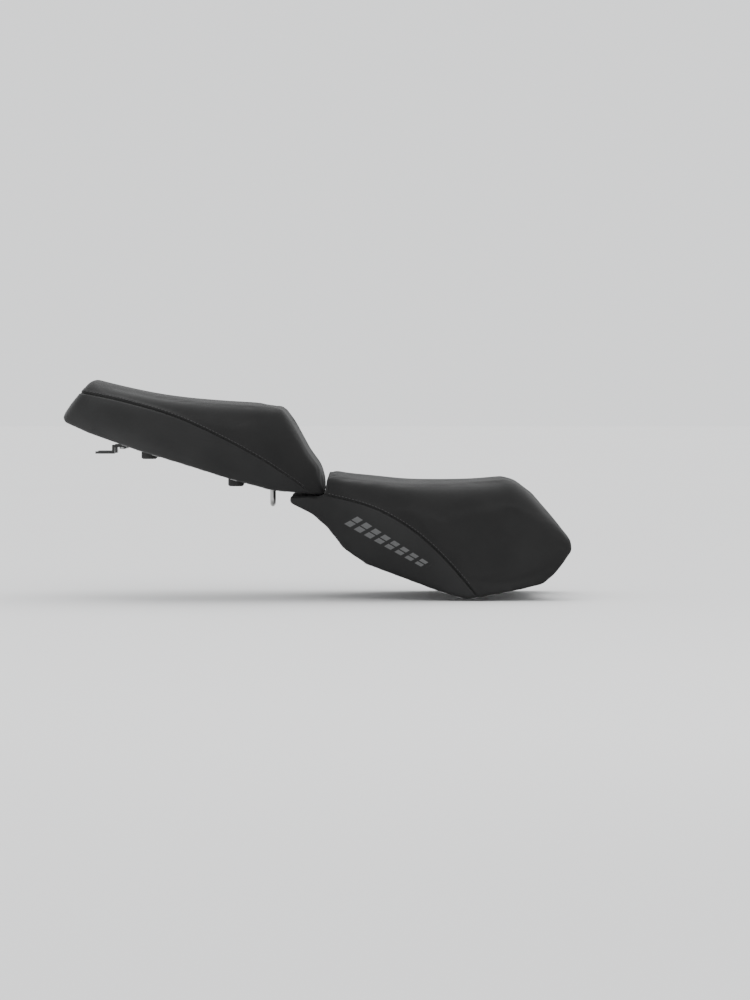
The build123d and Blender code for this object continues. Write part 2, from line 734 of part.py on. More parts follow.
with BuildPart() as cam_lever:
    with BuildSketch(Plane.XZ.offset(-lever_y)):
        with Locations(CAM_AXIS):
            Circle(LEVER_WIDE / 2)
        with Locations((CAM_AXIS[0] + LEVER_REACH - LEVER_WIDE / 2, CAM_AXIS[1])):
            Circle(LEVER_WIDE / 2)
        with Locations((CAM_AXIS[0] + (LEVER_REACH - LEVER_WIDE / 2) / 2, CAM_AXIS[1])):
            Rectangle(LEVER_REACH - LEVER_WIDE / 2, LEVER_WIDE)
        with Locations(CAM_AXIS):
            Circle(SHAFT_R, mode=Mode.SUBTRACT)
    extrude(amount=-LEVER_THICK)
cam_lever.part.label = "cam_lever"
export_step(cam_lever.part, "parts/cam_lever.step")

with BuildPart() as cam_clips:
    for clip_side in SIDES.values():
        clip_y = sorted((clip_side * lug_out, clip_side * (lug_out + CLIP_THICK)))
        add(cross_bore(*CAM_AXIS, *clip_y, CLIP_R))
    add(cross_bore(*CAM_AXIS, -100, 100, SHAFT_R), mode=Mode.SUBTRACT)
cam_clips.part.label = "cam_clips"
export_step(cam_clips.part, "parts/cam_clips.step")

# ---------------------------------------------------------------- rear height adjuster
with BuildPart() as bail_wire:
    with BuildLine() as bail_path:
        bail_end = bail_lug_y + BAIL_LUG_THICK / 2 + 4
        FilletPolyline(
            (BAIL_AXIS[0], -bail_end, BAIL_AXIS[1]), (BAIL_AXIS[0], -BAIL_Y, BAIL_AXIS[1]),
            (BAIL_AXIS[0] + BAIL_ARM, -BAIL_Y, BAIL_AXIS[1]),
            (BAIL_AXIS[0] + BAIL_ARM, BAIL_Y, BAIL_AXIS[1]),
            (BAIL_AXIS[0], BAIL_Y, BAIL_AXIS[1]), (BAIL_AXIS[0], bail_end, BAIL_AXIS[1]),
            radius=BAIL_BEND,
        )
    with BuildSketch(Plane(origin=bail_path.line @ 0, z_dir=bail_path.line % 0)):
        Circle(BAIL_R)
    sweep(path=bail_path.line)
bail_wire.part.label = "bail_wire"
export_step(bail_wire.part, "parts/bail_wire.step")


def bail_sleeve(side):
    """Rubber sleeve on the bail's cross bar."""
    span = around(side * SLEEVE_Y, SLEEVE_LENGTH)
    with BuildPart() as sleeve:
        add(cross_bore(BAIL_AXIS[0] + BAIL_ARM, BAIL_AXIS[1], *span, SLEEVE_R))
        chamfer(sleeve.edges().filter_by(GeomType.CIRCLE), 1)
        add(
            cross_bore(BAIL_AXIS[0] + BAIL_ARM, BAIL_AXIS[1], -100, 100, BAIL_R),
            mode=Mode.SUBTRACT,
        )
    return sleeve.part


with BuildPart() as bail_sleeve_left:
    add(bail_sleeve(1))
bail_sleeve_left.part.label = "bail_sleeve_left"
export_step(bail_sleeve_left.part, "parts/bail_sleeve_left.step")

with BuildPart() as bail_sleeve_right:
    add(bail_sleeve(-1))
bail_sleeve_right.part.label = "bail_sleeve_right"
export_step(bail_sleeve_right.part, "parts/bail_sleeve_right.step")

# ---------------------------------------------------------------- passenger seat: cover
passenger_skin = seat_body(*PASSENGER_SHAPE)
passenger_core = seat_body(*PASSENGER_SHAPE, skin=COVER, floor=COVER)
passenger_hem = seat_body(*PASSENGER_SHAPE, skin=HEM, floor=-1, roof=0)
passenger_shell = passenger_skin - passenger_core - passenger_hem
passenger_sides = {
    name: slab(below_curve(PASSENGER_SEAM, 20), *sorted((side * PASSENGER_SEAM_Y, side * 220)))
    for name, side in SIDES.items()
}

with BuildPart() as passenger_cover_top:
    add(passenger_shell)
    for region in passenger_sides.values():
        add(region, mode=Mode.SUBTRACT)
passenger_cover_top.part.label = "passenger_cover_top"
export_step(passenger_cover_top.part, "parts/passenger_cover_top.step")

with BuildPart() as passenger_cover_side_left:
    add(passenger_shell)
    add(passenger_sides["left"], mode=Mode.INTERSECT)
passenger_cover_side_left.part.label = "passenger_cover_side_left"
export_step(passenger_cover_side_left.part, "parts/passenger_cover_side_left.step")

with BuildPart() as passenger_cover_side_right:
    add(passenger_shell)
    add(passenger_sides["right"], mode=Mode.INTERSECT)
passenger_cover_side_right.part.label = "passenger_cover_side_right"
export_step(passenger_cover_side_right.part, "parts/passenger_cover_side_right.step")

# ---------------------------------------------------------------- passenger seat: foam and pan
passenger_block = seat_body(*PASSENGER_SHAPE, skin=PAN_SKIN, floor=COVER, roof=0)
passenger_hollow = seat_body(
    *PASSENGER_SHAPE, skin=PAN_SKIN + PAN, floor=COVER + PAN, roof=PAN
)
passenger_mid_wall = seat_body(
    *PASSENGER_SHAPE, skin=PAN_SKIN + PAN / 2, floor=COVER + PAN / 2, roof=PAN / 2
)
passenger_opening = seat_body(*PASSENGER_SHAPE, skin=PAN_SKIN + RIM, floor=-1, roof=2.2 * PAN)

with BuildPart() as passenger_foam:
    add(passenger_core)
    add(passenger_block, mode=Mode.SUBTRACT)
passenger_foam.part.label = "passenger_foam"
export_step(passenger_foam.part, "parts/passenger_foam.step")

tongue_blocks = [bracket_block(TONGUE_AT, TONGUE_FOOT, side, -1) for side in SIDES.values()]
tongue_holes = [
    hole for side in SIDES.values() for hole in bracket_holes(TONGUE_AT, TONGUE_FOOT, side, -1)
]

with BuildPart() as passenger_pan:
    add(
        pan_shell(
            passenger_block, passenger_hollow, passenger_opening, passenger_mid_wall, None,
            striker_blocks(PASSENGER_STRIKER) + buffer_blocks(PASSENGER_BUFFERS) + tongue_blocks,
            striker_holes(PASSENGER_STRIKER) + buffer_holes(PASSENGER_BUFFERS) + tongue_holes,
        )
    )
passenger_pan.part.label = "passenger_pan"
export_step(passenger_pan.part, "parts/passenger_pan.step")

with BuildPart() as passenger_staples:
    add(staple_row(PASSENGER, 0.6, len(PASSENGER) - 1.5))
passenger_staples.part.label = "passenger_staples"
export_step(passenger_staples.part, "parts/passenger_staples.step")

# ---------------------------------------------------------------- passenger seat: latch striker
with BuildPart() as passenger_striker_plate:
    add(striker_plate(PASSENGER_STRIKER))
passenger_striker_plate.part.label = "passenger_striker_plate"
export_step(passenger_striker_plate.part, "parts/passenger_striker_plate.step")

with BuildPart() as passenger_striker_loop:
    add(striker_loop(PASSENGER_STRIKER))
passenger_striker_loop.part.label = "passenger_striker_loop"
export_step(passenger_striker_loop.part, "parts/passenger_striker_loop.step")

with BuildPart() as passenger_striker_screws:
    add(cap_screws(plate_screw_spots(PASSENGER_STRIKER), PASSENGER_STRIKER[1] + PLATE_LIFT))
passenger_striker_screws.part.label = "passenger_striker_screws"
export_step(passenger_striker_screws.part, "parts/passenger_striker_screws.step")

# ---------------------------------------------------------------- passenger seat: buffers
with BuildPart() as passenger_buffer_front_left:
    add(rubber_buffer(PASSENGER_BUFFERS["front_left"]))
passenger_buffer_front_left.part.label = "passenger_buffer_front_left"
export_step(passenger_buffer_front_left.part, "parts/passenger_buffer_front_left.step")

with BuildPart() as passenger_buffer_front_right:
    add(rubber_buffer(PASSENGER_BUFFERS["front_right"]))
passenger_buffer_front_right.part.label = "passenger_buffer_front_right"
export_step(passenger_buffer_front_right.part, "parts/passenger_buffer_front_right.step")

with BuildPart() as passenger_buffer_rear_left:
    add(rubber_buffer(PASSENGER_BUFFERS["rear_left"]))
passenger_buffer_rear_left.part.label = "passenger_buffer_rear_left"
export_step(passenger_buffer_rear_left.part, "parts/passenger_buffer_rear_left.step")

with BuildPart() as passenger_buffer_rear_right:
    add(rubber_buffer(PASSENGER_BUFFERS["rear_right"]))
passenger_buffer_rear_right.part.label = "passenger_buffer_rear_right"
export_step(passenger_buffer_rear_right.part, "parts/passenger_buffer_rear_right.step")

# ---------------------------------------------------------------- passenger seat: tongues
with BuildPart() as rear_tongue_left:
    add(bracket(TONGUE_AT, TONGUE_FOOT, TONGUE_DROP, TONGUE_REACH, 1, -1))
rear_tongue_left.part.label = "rear_tongue_left"
export_step(rear_tongue_left.part, "parts/rear_tongue_left.step")

with BuildPart() as rear_tongue_right:
    add(bracket(TONGUE_AT, TONGUE_FOOT, TONGUE_DROP, TONGUE_REACH, -1, -1))
rear_tongue_right.part.label = "rear_tongue_right"
export_step(rear_tongue_right.part, "parts/rear_tongue_right.step")

with BuildPart() as rear_tongue_screws:
    for tongue_side in SIDES.values():
        tongue_spots = bracket_screw_spots(TONGUE_AT, TONGUE_FOOT, tongue_side, -1)
        add(cap_screws(tongue_spots, TONGUE_AT[2] - METAL))
rear_tongue_screws.part.label = "rear_tongue_screws"
export_step(rear_tongue_screws.part, "parts/rear_tongue_screws.step")
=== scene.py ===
"""Looks of a two-piece motorcycle seat: sewn covers, seams, foam, pans, fittings, light and camera.

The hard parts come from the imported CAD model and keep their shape. The covers and the foam are
made here: a smooth body is swept through the same stations as the CAD body, cut for its
neighbours, blown up as cloth, and then parted into sewn panels along its seams.
"""

from __future__ import annotations

import json
import logging
import math
import sys
from dataclasses import dataclass, field
from enum import Enum

import bmesh
import bpy
import numpy as np
from mathutils import Matrix, Vector
from mathutils.bvhtree import BVHTree

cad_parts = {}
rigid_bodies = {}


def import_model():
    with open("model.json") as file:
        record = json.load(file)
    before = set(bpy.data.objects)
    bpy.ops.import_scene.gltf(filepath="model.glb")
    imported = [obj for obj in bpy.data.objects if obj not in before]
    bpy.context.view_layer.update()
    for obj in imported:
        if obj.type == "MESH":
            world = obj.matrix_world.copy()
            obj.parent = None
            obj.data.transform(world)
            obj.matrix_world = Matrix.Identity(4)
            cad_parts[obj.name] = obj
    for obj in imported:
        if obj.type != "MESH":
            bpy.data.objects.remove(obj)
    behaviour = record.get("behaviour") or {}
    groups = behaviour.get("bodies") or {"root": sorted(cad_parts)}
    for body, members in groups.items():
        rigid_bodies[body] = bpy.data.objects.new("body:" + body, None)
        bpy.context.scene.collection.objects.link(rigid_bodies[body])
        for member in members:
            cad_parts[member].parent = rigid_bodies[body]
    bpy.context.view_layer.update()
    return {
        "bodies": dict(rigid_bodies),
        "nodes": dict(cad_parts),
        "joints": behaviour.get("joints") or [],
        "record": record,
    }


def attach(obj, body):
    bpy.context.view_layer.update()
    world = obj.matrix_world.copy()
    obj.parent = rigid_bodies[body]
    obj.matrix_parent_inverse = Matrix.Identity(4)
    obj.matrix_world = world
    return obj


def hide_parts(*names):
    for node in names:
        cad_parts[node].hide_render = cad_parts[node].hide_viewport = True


LOG = logging.getLogger("seat")
MM = 0.001


class Side(Enum):
    """Side of the motorcycle as its rider sees it, with the sign of Y there."""

    LEFT = 1
    RIGHT = -1

    @property
    def word(self) -> str:
        """Lower-case word used in piece names."""
        return self.name.lower()


class Region(Enum):
    """Where a point of a seat's skin lies."""

    TOP = 0
    LEFT = 1
    RIGHT = 2


# ------------------------------------------------------------------------------ shader building
class Value:
    """A shader socket that can be used in arithmetic."""

    def __init__(self, tree: "Shader", socket: bpy.types.NodeSocket) -> None:
        """Wraps one output socket.

        Args:
            tree: The shader that the socket's node belongs to.
            socket: The output socket.
        """
        self.tree = tree
        self.socket = socket

    def _with(self, operation: str, *operands: "Value | float") -> "Value":
        """Result of a Math node on the given operands."""
        values = dict(enumerate(operands))
        return self.tree.node("ShaderNodeMath", {"operation": operation}, values)

    def __add__(self, other: "Value | float") -> "Value":
        """Sum."""
        return self._with("ADD", self, other)

    def __radd__(self, other: float) -> "Value":
        """Sum with the number on the left."""
        return self._with("ADD", other, self)

    def __sub__(self, other: "Value | float") -> "Value":
        """Difference."""
        return self._with("SUBTRACT", self, other)

    def __rsub__(self, other: float) -> "Value":
        """Difference with the number on the left."""
        return self._with("SUBTRACT", other, self)

    def __mul__(self, other: "Value | float") -> "Value":
        """Product."""
        return self._with("MULTIPLY", self, other)

    def __rmul__(self, other: float) -> "Value":
        """Product with the number on the left."""
        return self._with("MULTIPLY", other, self)

    def __truediv__(self, other: "Value | float") -> "Value":
        """Quotient."""
        return self._with("DIVIDE", self, other)

    def __gt__(self, other: "Value | float") -> "Value":
        """1 where this is greater, else 0."""
        return self._with("GREATER_THAN", self, other)

    def __lt__(self, other: "Value | float") -> "Value":
        """1 where this is less, else 0."""
        return self._with("LESS_THAN", self, other)

    def absolute(self) -> "Value":
        """Size without its sign."""
        return self._with("ABSOLUTE", self)

    def wave(self) -> "Value":
        """Sine."""
        return self._with("SINE", self)

    def repeat(self, period: float) -> "Value":
        """Distance into the current period."""
        return self._with("FLOORED_MODULO", self, period)

    def smooth(self, low: float, high: float) -> "Value":
        """0 at low, 1 at high and a soft step between."""
        return self.tree.node(
            "ShaderNodeMapRange",
            {"interpolation_type": "SMOOTHSTEP"},
            {"Value": self, "From Min": low, "From Max": high},
        )


class Shader:
    """A material under construction."""

    def __init__(self, name: str) -> None:
        """Starts an empty material.

        Args:
            name: Name of the finish.
        """
        self.material = bpy.data.materials.new(name)
        self.material.use_nodes = True
        self.nodes = self.material.node_tree.nodes
        self.links = self.material.node_tree.links
        self.nodes.clear()
        self.coordinates = self.node("ShaderNodeTexCoord", {}, {}, "Object")

    def node(
        self,
        kind: str,
        settings: dict[str, object],
        values: dict[object, object],
        output: str | int = 0,
    ) -> Value:
        """Adds a node.

        Args:
            kind: Node type.
            settings: Properties of the node, set before its sockets.
            values: Input socket name or number to a number, colour or Value.
            output: Name or number of the output to hand back.

        Returns:
            The chosen output.
        """
        made = self.nodes.new(kind)
        for key, setting in settings.items():
            if key == "stops":
                self._ramp(made, setting)
            else:
                setattr(made, key, setting)
        for key, value in values.items():
            if isinstance(value, Value):
                self.links.new(value.socket, made.inputs[key])
            else:
                made.inputs[key].default_value = value
        return Value(self, made.outputs[output])

    @staticmethod
    def _ramp(made: bpy.types.Node, stops: list[tuple[float, tuple]]) -> None:
        """Sets the stops of a colour ramp."""
        elements = made.color_ramp.elements
        while len(elements) > 1:
            elements.remove(elements[-1])
        elements[0].position, elements[0].color = stops[0]
        for position, colour in stops[1:]:
            elements.new(position).color = colour

    def axes(self) -> tuple[Value, Value, Value]:
        """Object coordinates in metres as three values."""
        made = self.nodes.new("ShaderNodeSeparateXYZ")
        self.links.new(self.coordinates.socket, made.inputs[0])
        return tuple(Value(self, made.outputs[i]) for i in range(3))

    def noise(self, scale: float, detail: float = 3.0, rough: float = 0.55) -> Value:
        """Noise over the object, from about 0.2 to 0.8."""
        return self.node(
            "ShaderNodeTexNoise",
            {"noise_dimensions": "3D"},
            {"Vector": self.coordinates, "Scale": scale, "Detail": detail, "Roughness": rough},
            "Fac",
        )

    def cells(self, scale: float, feature: str = "F1", randomness: float = 1.0) -> Value:
        """Distances of a cell pattern over the object."""
        return self.node(
            "ShaderNodeTexVoronoi",
            {"feature": feature},
            {"Vector": self.coordinates, "Scale": scale, "Randomness": randomness},
            "Distance",
        )

    def mix(self, share: Value | float, low: object, high: object) -> Value:
        """Colour between two colours."""
        made = self.nodes.new("ShaderNodeMix")
        made.data_type = "RGBA"
        for index, value in ((0, share), (6, low), (7, high)):
            if isinstance(value, Value):
                self.links.new(value.socket, made.inputs[index])
            else:
                made.inputs[index].default_value = value
        return Value(self, made.outputs[2])

    def bump(self, height: Value, strength: float, distance: float, under: object = None) -> Value:
        """Normal bent by a height.

        Args:
            height: Height of the relief, 0 to 1.
            strength: Share of the relief that shows.
            distance: Depth of the relief in metres.
            under: Normal that it is laid over, if any.

        Returns:
            The bent normal.
        """
        values = {"Height": height, "Strength": strength, "Distance": distance}
        if under is not None:
            values["Normal"] = under
        return self.node("ShaderNodeBump", {}, values, "Normal")

    def finish(self, **sockets: object) -> bpy.types.Material:
        """Ends in a Principled shader.

        Args:
            sockets: Socket name, with spaces as underscores, to value.

        Returns:
            The finished material.
        """
        values = {key.replace("_", " "): value for key, value in sockets.items()}
        surface = self.node("ShaderNodeBsdfPrincipled", {}, values)
        output = self.nodes.new("ShaderNodeOutputMaterial")
        self.links.new(surface.socket, output.inputs["Surface"])
        return self.material


def grey(level: float, warm: float = 0.0) -> tuple[float, float, float, float]:
    """Near-grey colour.

    Args:
        level: Brightness, linear.
        warm: Extra red and missing blue, as a share.

    Returns:
        The colour with full alpha.
    """
    return (level * (1 + warm), level, level * (1 - warm), 1.0)


@dataclass(frozen=True)
class WovenFinish:
    """Matte stretch fabric with a fine diagonal twill."""

    name: str = "top_fabric"
    dark: float = 0.0075
    light: float = 0.0135
    pitch: float = 1.5 * MM
    relief: float = 0.16 * MM

    def material(self) -> bpy.types.Material:
        """The finished material."""
        shader = Shader(self.name)
        x, y, z = shader.axes()
        turn = 2 * math.pi / self.pitch
        drift = shader.noise(30, 2) * 2.2
        rib = ((x + y * 0.55 + z * 0.8) * turn + drift).wave()
        cross = ((x * -0.62 + y * 0.7 + z * 0.45) * (turn * 1.7)).wave()
        weave = rib * 0.34 + cross * 0.16 + 0.5
        fuzz = shader.noise(1900, 2)
        cloud = shader.noise(9, 4).smooth(0.35, 0.68)
        dust = shader.noise(140, 5, 0.7).smooth(0.58, 0.8)
        body = shader.mix(weave, grey(self.dark), grey(self.light))
        body = shader.mix(cloud * 0.35, body, grey(self.light * 1.15, 0.02))
        body = shader.mix(dust * 0.08, body, grey(0.045, 0.03))
        relief = shader.bump(weave * 0.75 + fuzz * 0.4, 0.5, self.relief)
        creased = shader.bump(shader.noise(24, 3), 0.10, 4 * MM, relief)
        return shader.finish(
            Base_Color=body,
            Roughness=0.86 - cloud * 0.08 - weave * 0.06,
            Normal=creased,
            Specular_IOR_Level=0.2,
            Sheen_Weight=0.05,
            Sheen_Roughness=0.4,
        )


@dataclass(frozen=True)
class GrainFinish:
    """Coated side fabric with a soft leather-like grain, painted shade in the grain's creases and, if
    asked, a printed mark.
    """

    name: str
    printed: bool
    dark: float = 0.009
    light: float = 0.014

    def material(self) -> bpy.types.Material:
        """The finished material."""
        shader = Shader(self.name)
        pebble = shader.cells(900, "SMOOTH_F1")
        fine = shader.noise(2600, 2)
        cloud = shader.noise(7, 3).smooth(0.35, 0.7)
        crease_and_painted_shade = shader.cells(420, "DISTANCE_TO_EDGE").smooth(0.0, 0.09)
        body = shader.mix(cloud, grey(self.dark), grey(self.light))
        # Darker along the grain's creases: painted shade in the crevices between the pebbles.
        body = shader.mix((1 - crease_and_painted_shade) * 0.25, body, grey(self.dark * 0.6))
        rough = 0.62 - cloud * 0.08 + fine * 0.08
        if self.printed:
            ink = self._mark(shader)
            worn = shader.noise(420, 4, 0.7).smooth(0.30, 0.46)
            ink = ink * (0.55 + worn * 0.45)
            body = shader.mix(ink * 0.7, body, grey(0.125, -0.01))
            rough = rough - ink * 0.12
        relief = shader.bump(pebble * 0.7 + fine * 0.25 + crease_and_painted_shade * 0.25, 0.42, 0.14 * MM)
        soft = shader.bump(shader.noise(20, 2), 0.10, 4 * MM, relief)
        return shader.finish(
            Base_Color=body,
            Roughness=rough,
            Normal=soft,
            Specular_IOR_Level=0.24,
            Sheen_Weight=0.03,
        )

    @staticmethod
    def _mark(shader: Shader) -> Value:
        """Printed mark: a row of slanted bars that gets narrower towards the front."""
        x, _, z = shader.axes()
        slope = math.radians(-31)
        along = (x - 0.020) * math.cos(slope) + (z - 0.034) * math.sin(slope)
        across = (z - 0.034) * math.cos(slope) - (x - 0.020) * math.sin(slope)
        lean = along - across * 0.55
        pitch, bar = 17 * MM, 11 * MM
        stripe = (lean.repeat(pitch) - bar).smooth(0.25 * MM, -0.25 * MM)
        length = (lean + 16 * MM).smooth(-0.3 * MM, 0.3 * MM) * (119 * MM - lean).smooth(
            -0.3 * MM, 0.3 * MM
        )
        half = 9.5 * MM - lean * 0.035
        height = (half - across.absolute()).smooth(-0.3 * MM, 0.3 * MM)
        gap = (across.absolute() - 0.9 * MM).smooth(-0.2 * MM, 0.2 * MM)
        return stripe * length * height * gap


@dataclass(frozen=True)
class PlasticFinish:
    """Moulded plastic with a spark-eroded texture, cloudy tone and lighter scuffs."""

    name: str
    level: float
    rough: float = 0.55
    grain: float = 1500.0

    def material(self) -> bpy.types.Material:
        """The finished material."""
        shader = Shader(self.name)
        speck = shader.noise(self.grain, 2)
        cloud = shader.noise(14, 4).smooth(0.35, 0.7)
        scuff = shader.noise(210, 6, 0.75).smooth(0.6, 0.75)
        body = shader.mix(cloud, grey(self.level * 0.8), grey(self.level * 1.25))
        body = shader.mix(scuff * 0.3, body, grey(self.level * 3 + 0.02))
        relief = shader.bump(speck, 0.35, 0.12 * MM)
        return shader.finish(
            Base_Color=body,
            Roughness=self.rough + cloud * 0.12 - scuff * 0.1,
            Normal=relief,
            Specular_IOR_Level=0.45,
        )


@dataclass(frozen=True)
class MetalFinish:
    """Plated or painted steel with fine drawing marks and handling wear."""

    name: str
    level: float
    metallic: float
    rough: float
    warm: float = 0.0

    def material(self) -> bpy.types.Material:
        """The finished material."""
        shader = Shader(self.name)
        x, y, z = shader.axes()
        drawn = ((x * 0.4 + z) * 9000 + shader.noise(60, 3) * 9).wave() * 0.5 + 0.5
        cloud = shader.noise(45, 4).smooth(0.35, 0.68)
        wear = shader.noise(330, 6, 0.7).smooth(0.6, 0.72)
        body = shader.mix(cloud, grey(self.level * 0.82, self.warm), grey(self.level, self.warm))
        body = shader.mix(wear * 0.35, body, grey(min(1.0, self.level * 1.5 + 0.05), self.warm))
        relief = shader.bump(drawn * 0.4 + cloud * 0.6, 0.12, 0.05 * MM)
        return shader.finish(
            Base_Color=body,
            Metallic=self.metallic,
            Roughness=self.rough + cloud * 0.12 - wear * 0.06,
            Normal=relief,
        )


@dataclass(frozen=True)
class RubberFinish:
    """Black rubber with bloom and fine mould grain."""

    name: str = "rubber"
    level: float = 0.018

    def material(self) -> bpy.types.Material:
        """The finished material."""
        shader = Shader(self.name)
        bloom = shader.noise(60, 5, 0.65).smooth(0.45, 0.75)
        grain = shader.noise(1700, 2)
        body = shader.mix(bloom * 0.5, grey(self.level), grey(self.level * 2.6, 0.02))
        relief = shader.bump(grain, 0.3, 0.1 * MM)
        return shader.finish(
            Base_Color=body, Roughness=0.72 + bloom * 0.14, Normal=relief, Specular_IOR_Level=0.4
        )


@dataclass(frozen=True)
class FoamFinish:
    """Open-cell foam, with painted shade in its pores."""

    name: str = "foam"

    def material(self) -> bpy.types.Material:
        """The finished material."""
        shader = Shader(self.name)
        pores_and_painted_pit_shade = shader.cells(700).smooth(0.1, 0.6)
        # Darker at the pore centres: painted shade in the pits. The same pattern also gives the pores'
        # relief.
        body = shader.mix(pores_and_painted_pit_shade, grey(0.025), grey(0.07, 0.03))
        relief = shader.bump(pores_and_painted_pit_shade, 0.8, 0.5 * MM)
        return shader.finish(Base_Color=body, Roughness=0.92, Normal=relief)


@dataclass(frozen=True)
class ThreadFinish:
    """Twisted polyester sewing thread."""

    name: str = "seam_thread"
    level: float = 0.032

    def material(self) -> bpy.types.Material:
        """The finished material."""
        shader = Shader(self.name)
        x, y, z = shader.axes()
        twist = ((x + z * 0.7 + y * 0.4) * 14000).wave() * 0.5 + 0.5
        body = shader.mix(twist, grey(self.level * 0.7), grey(self.level * 1.3))
        return shader.finish(
            Base_Color=body,
            Roughness=0.62 + twist * 0.1,
            Normal=shader.bump(twist, 0.5, 0.1 * MM),
            Specular_IOR_Level=0.4,
        )


class Palette:
    """All finishes, each made once."""

    def __init__(self) -> None:
        """Makes the materials."""
        finishes = [
            WovenFinish(),
            GrainFinish("side_fabric", False),
            GrainFinish("side_fabric_printed", True),
            PlasticFinish("pan_plastic", 0.016, 0.5),
            PlasticFinish("cam_plastic", 0.07, 0.42, 900.0),
            MetalFinish("plated_steel", 0.55, 1.0, 0.3, 0.01),
            MetalFinish("screw_steel", 0.42, 1.0, 0.34),
            MetalFinish("staple_steel", 0.6, 1.0, 0.28),
            MetalFinish("black_steel", 0.022, 0.0, 0.42),
            MetalFinish("bail_steel", 0.03, 0.0, 0.38),
            RubberFinish(),
            FoamFinish(),
            ThreadFinish(),
        ]
        self.materials = {finish.name: finish.material() for finish in finishes}

    def __getitem__(self, name: str) -> bpy.types.Material:
        """The material of a finish."""
        return self.materials[name]


# ------------------------------------------------------------------------------ seat surface
@dataclass(frozen=True)
class Station:
    """One cross-section of a seat, in millimetres. Widths are half widths."""

    crown: tuple[float, float]
    hem: tuple[float, float]
    hem_w: float
    waist_w: float
    crown_w: float
    corner: float
    waist: float = 0.5
    dome: float = 5.0


@dataclass(frozen=True)
class End:
    """Rounding of a seat's end."""

    bulge: float
    crown: float
    side: float
    hem: float


ROUND_STEPS = (30, 55, 78)


def bezier(points: list[tuple[float, float]], count: int) -> np.ndarray:
    """Points along a quadratic curve.

    Args:
        points: Its three control points.
        count: Number of points, the last one left out.

    Returns:
        An array of x, y pairs.
    """
    a, b, c = (np.array(point, float) for point in points)
    t = np.linspace(0, 1, count, endpoint=False)[:, None]
    return (1 - t) ** 2 * a + 2 * t * (1 - t) * b + t**2 * c


def hermite(t: np.ndarray, width: np.ndarray, ends: tuple, slopes: tuple) -> np.ndarray:
    """Cubic between two values with a slope at each.

    Args:
        t: Share of the way between them.
        width: Distance between them.
        ends: The two values.
        slopes: The slope at each.

    Returns:
        The value at t.
    """
    return (
        (2 * t**3 - 3 * t**2 + 1) * ends[0]
        + (t**3 - 2 * t**2 + t) * width * slopes[0]
        + (3 * t**2 - 2 * t**3) * ends[1]
        + (t**3 - t**2) * width * slopes[1]
    )


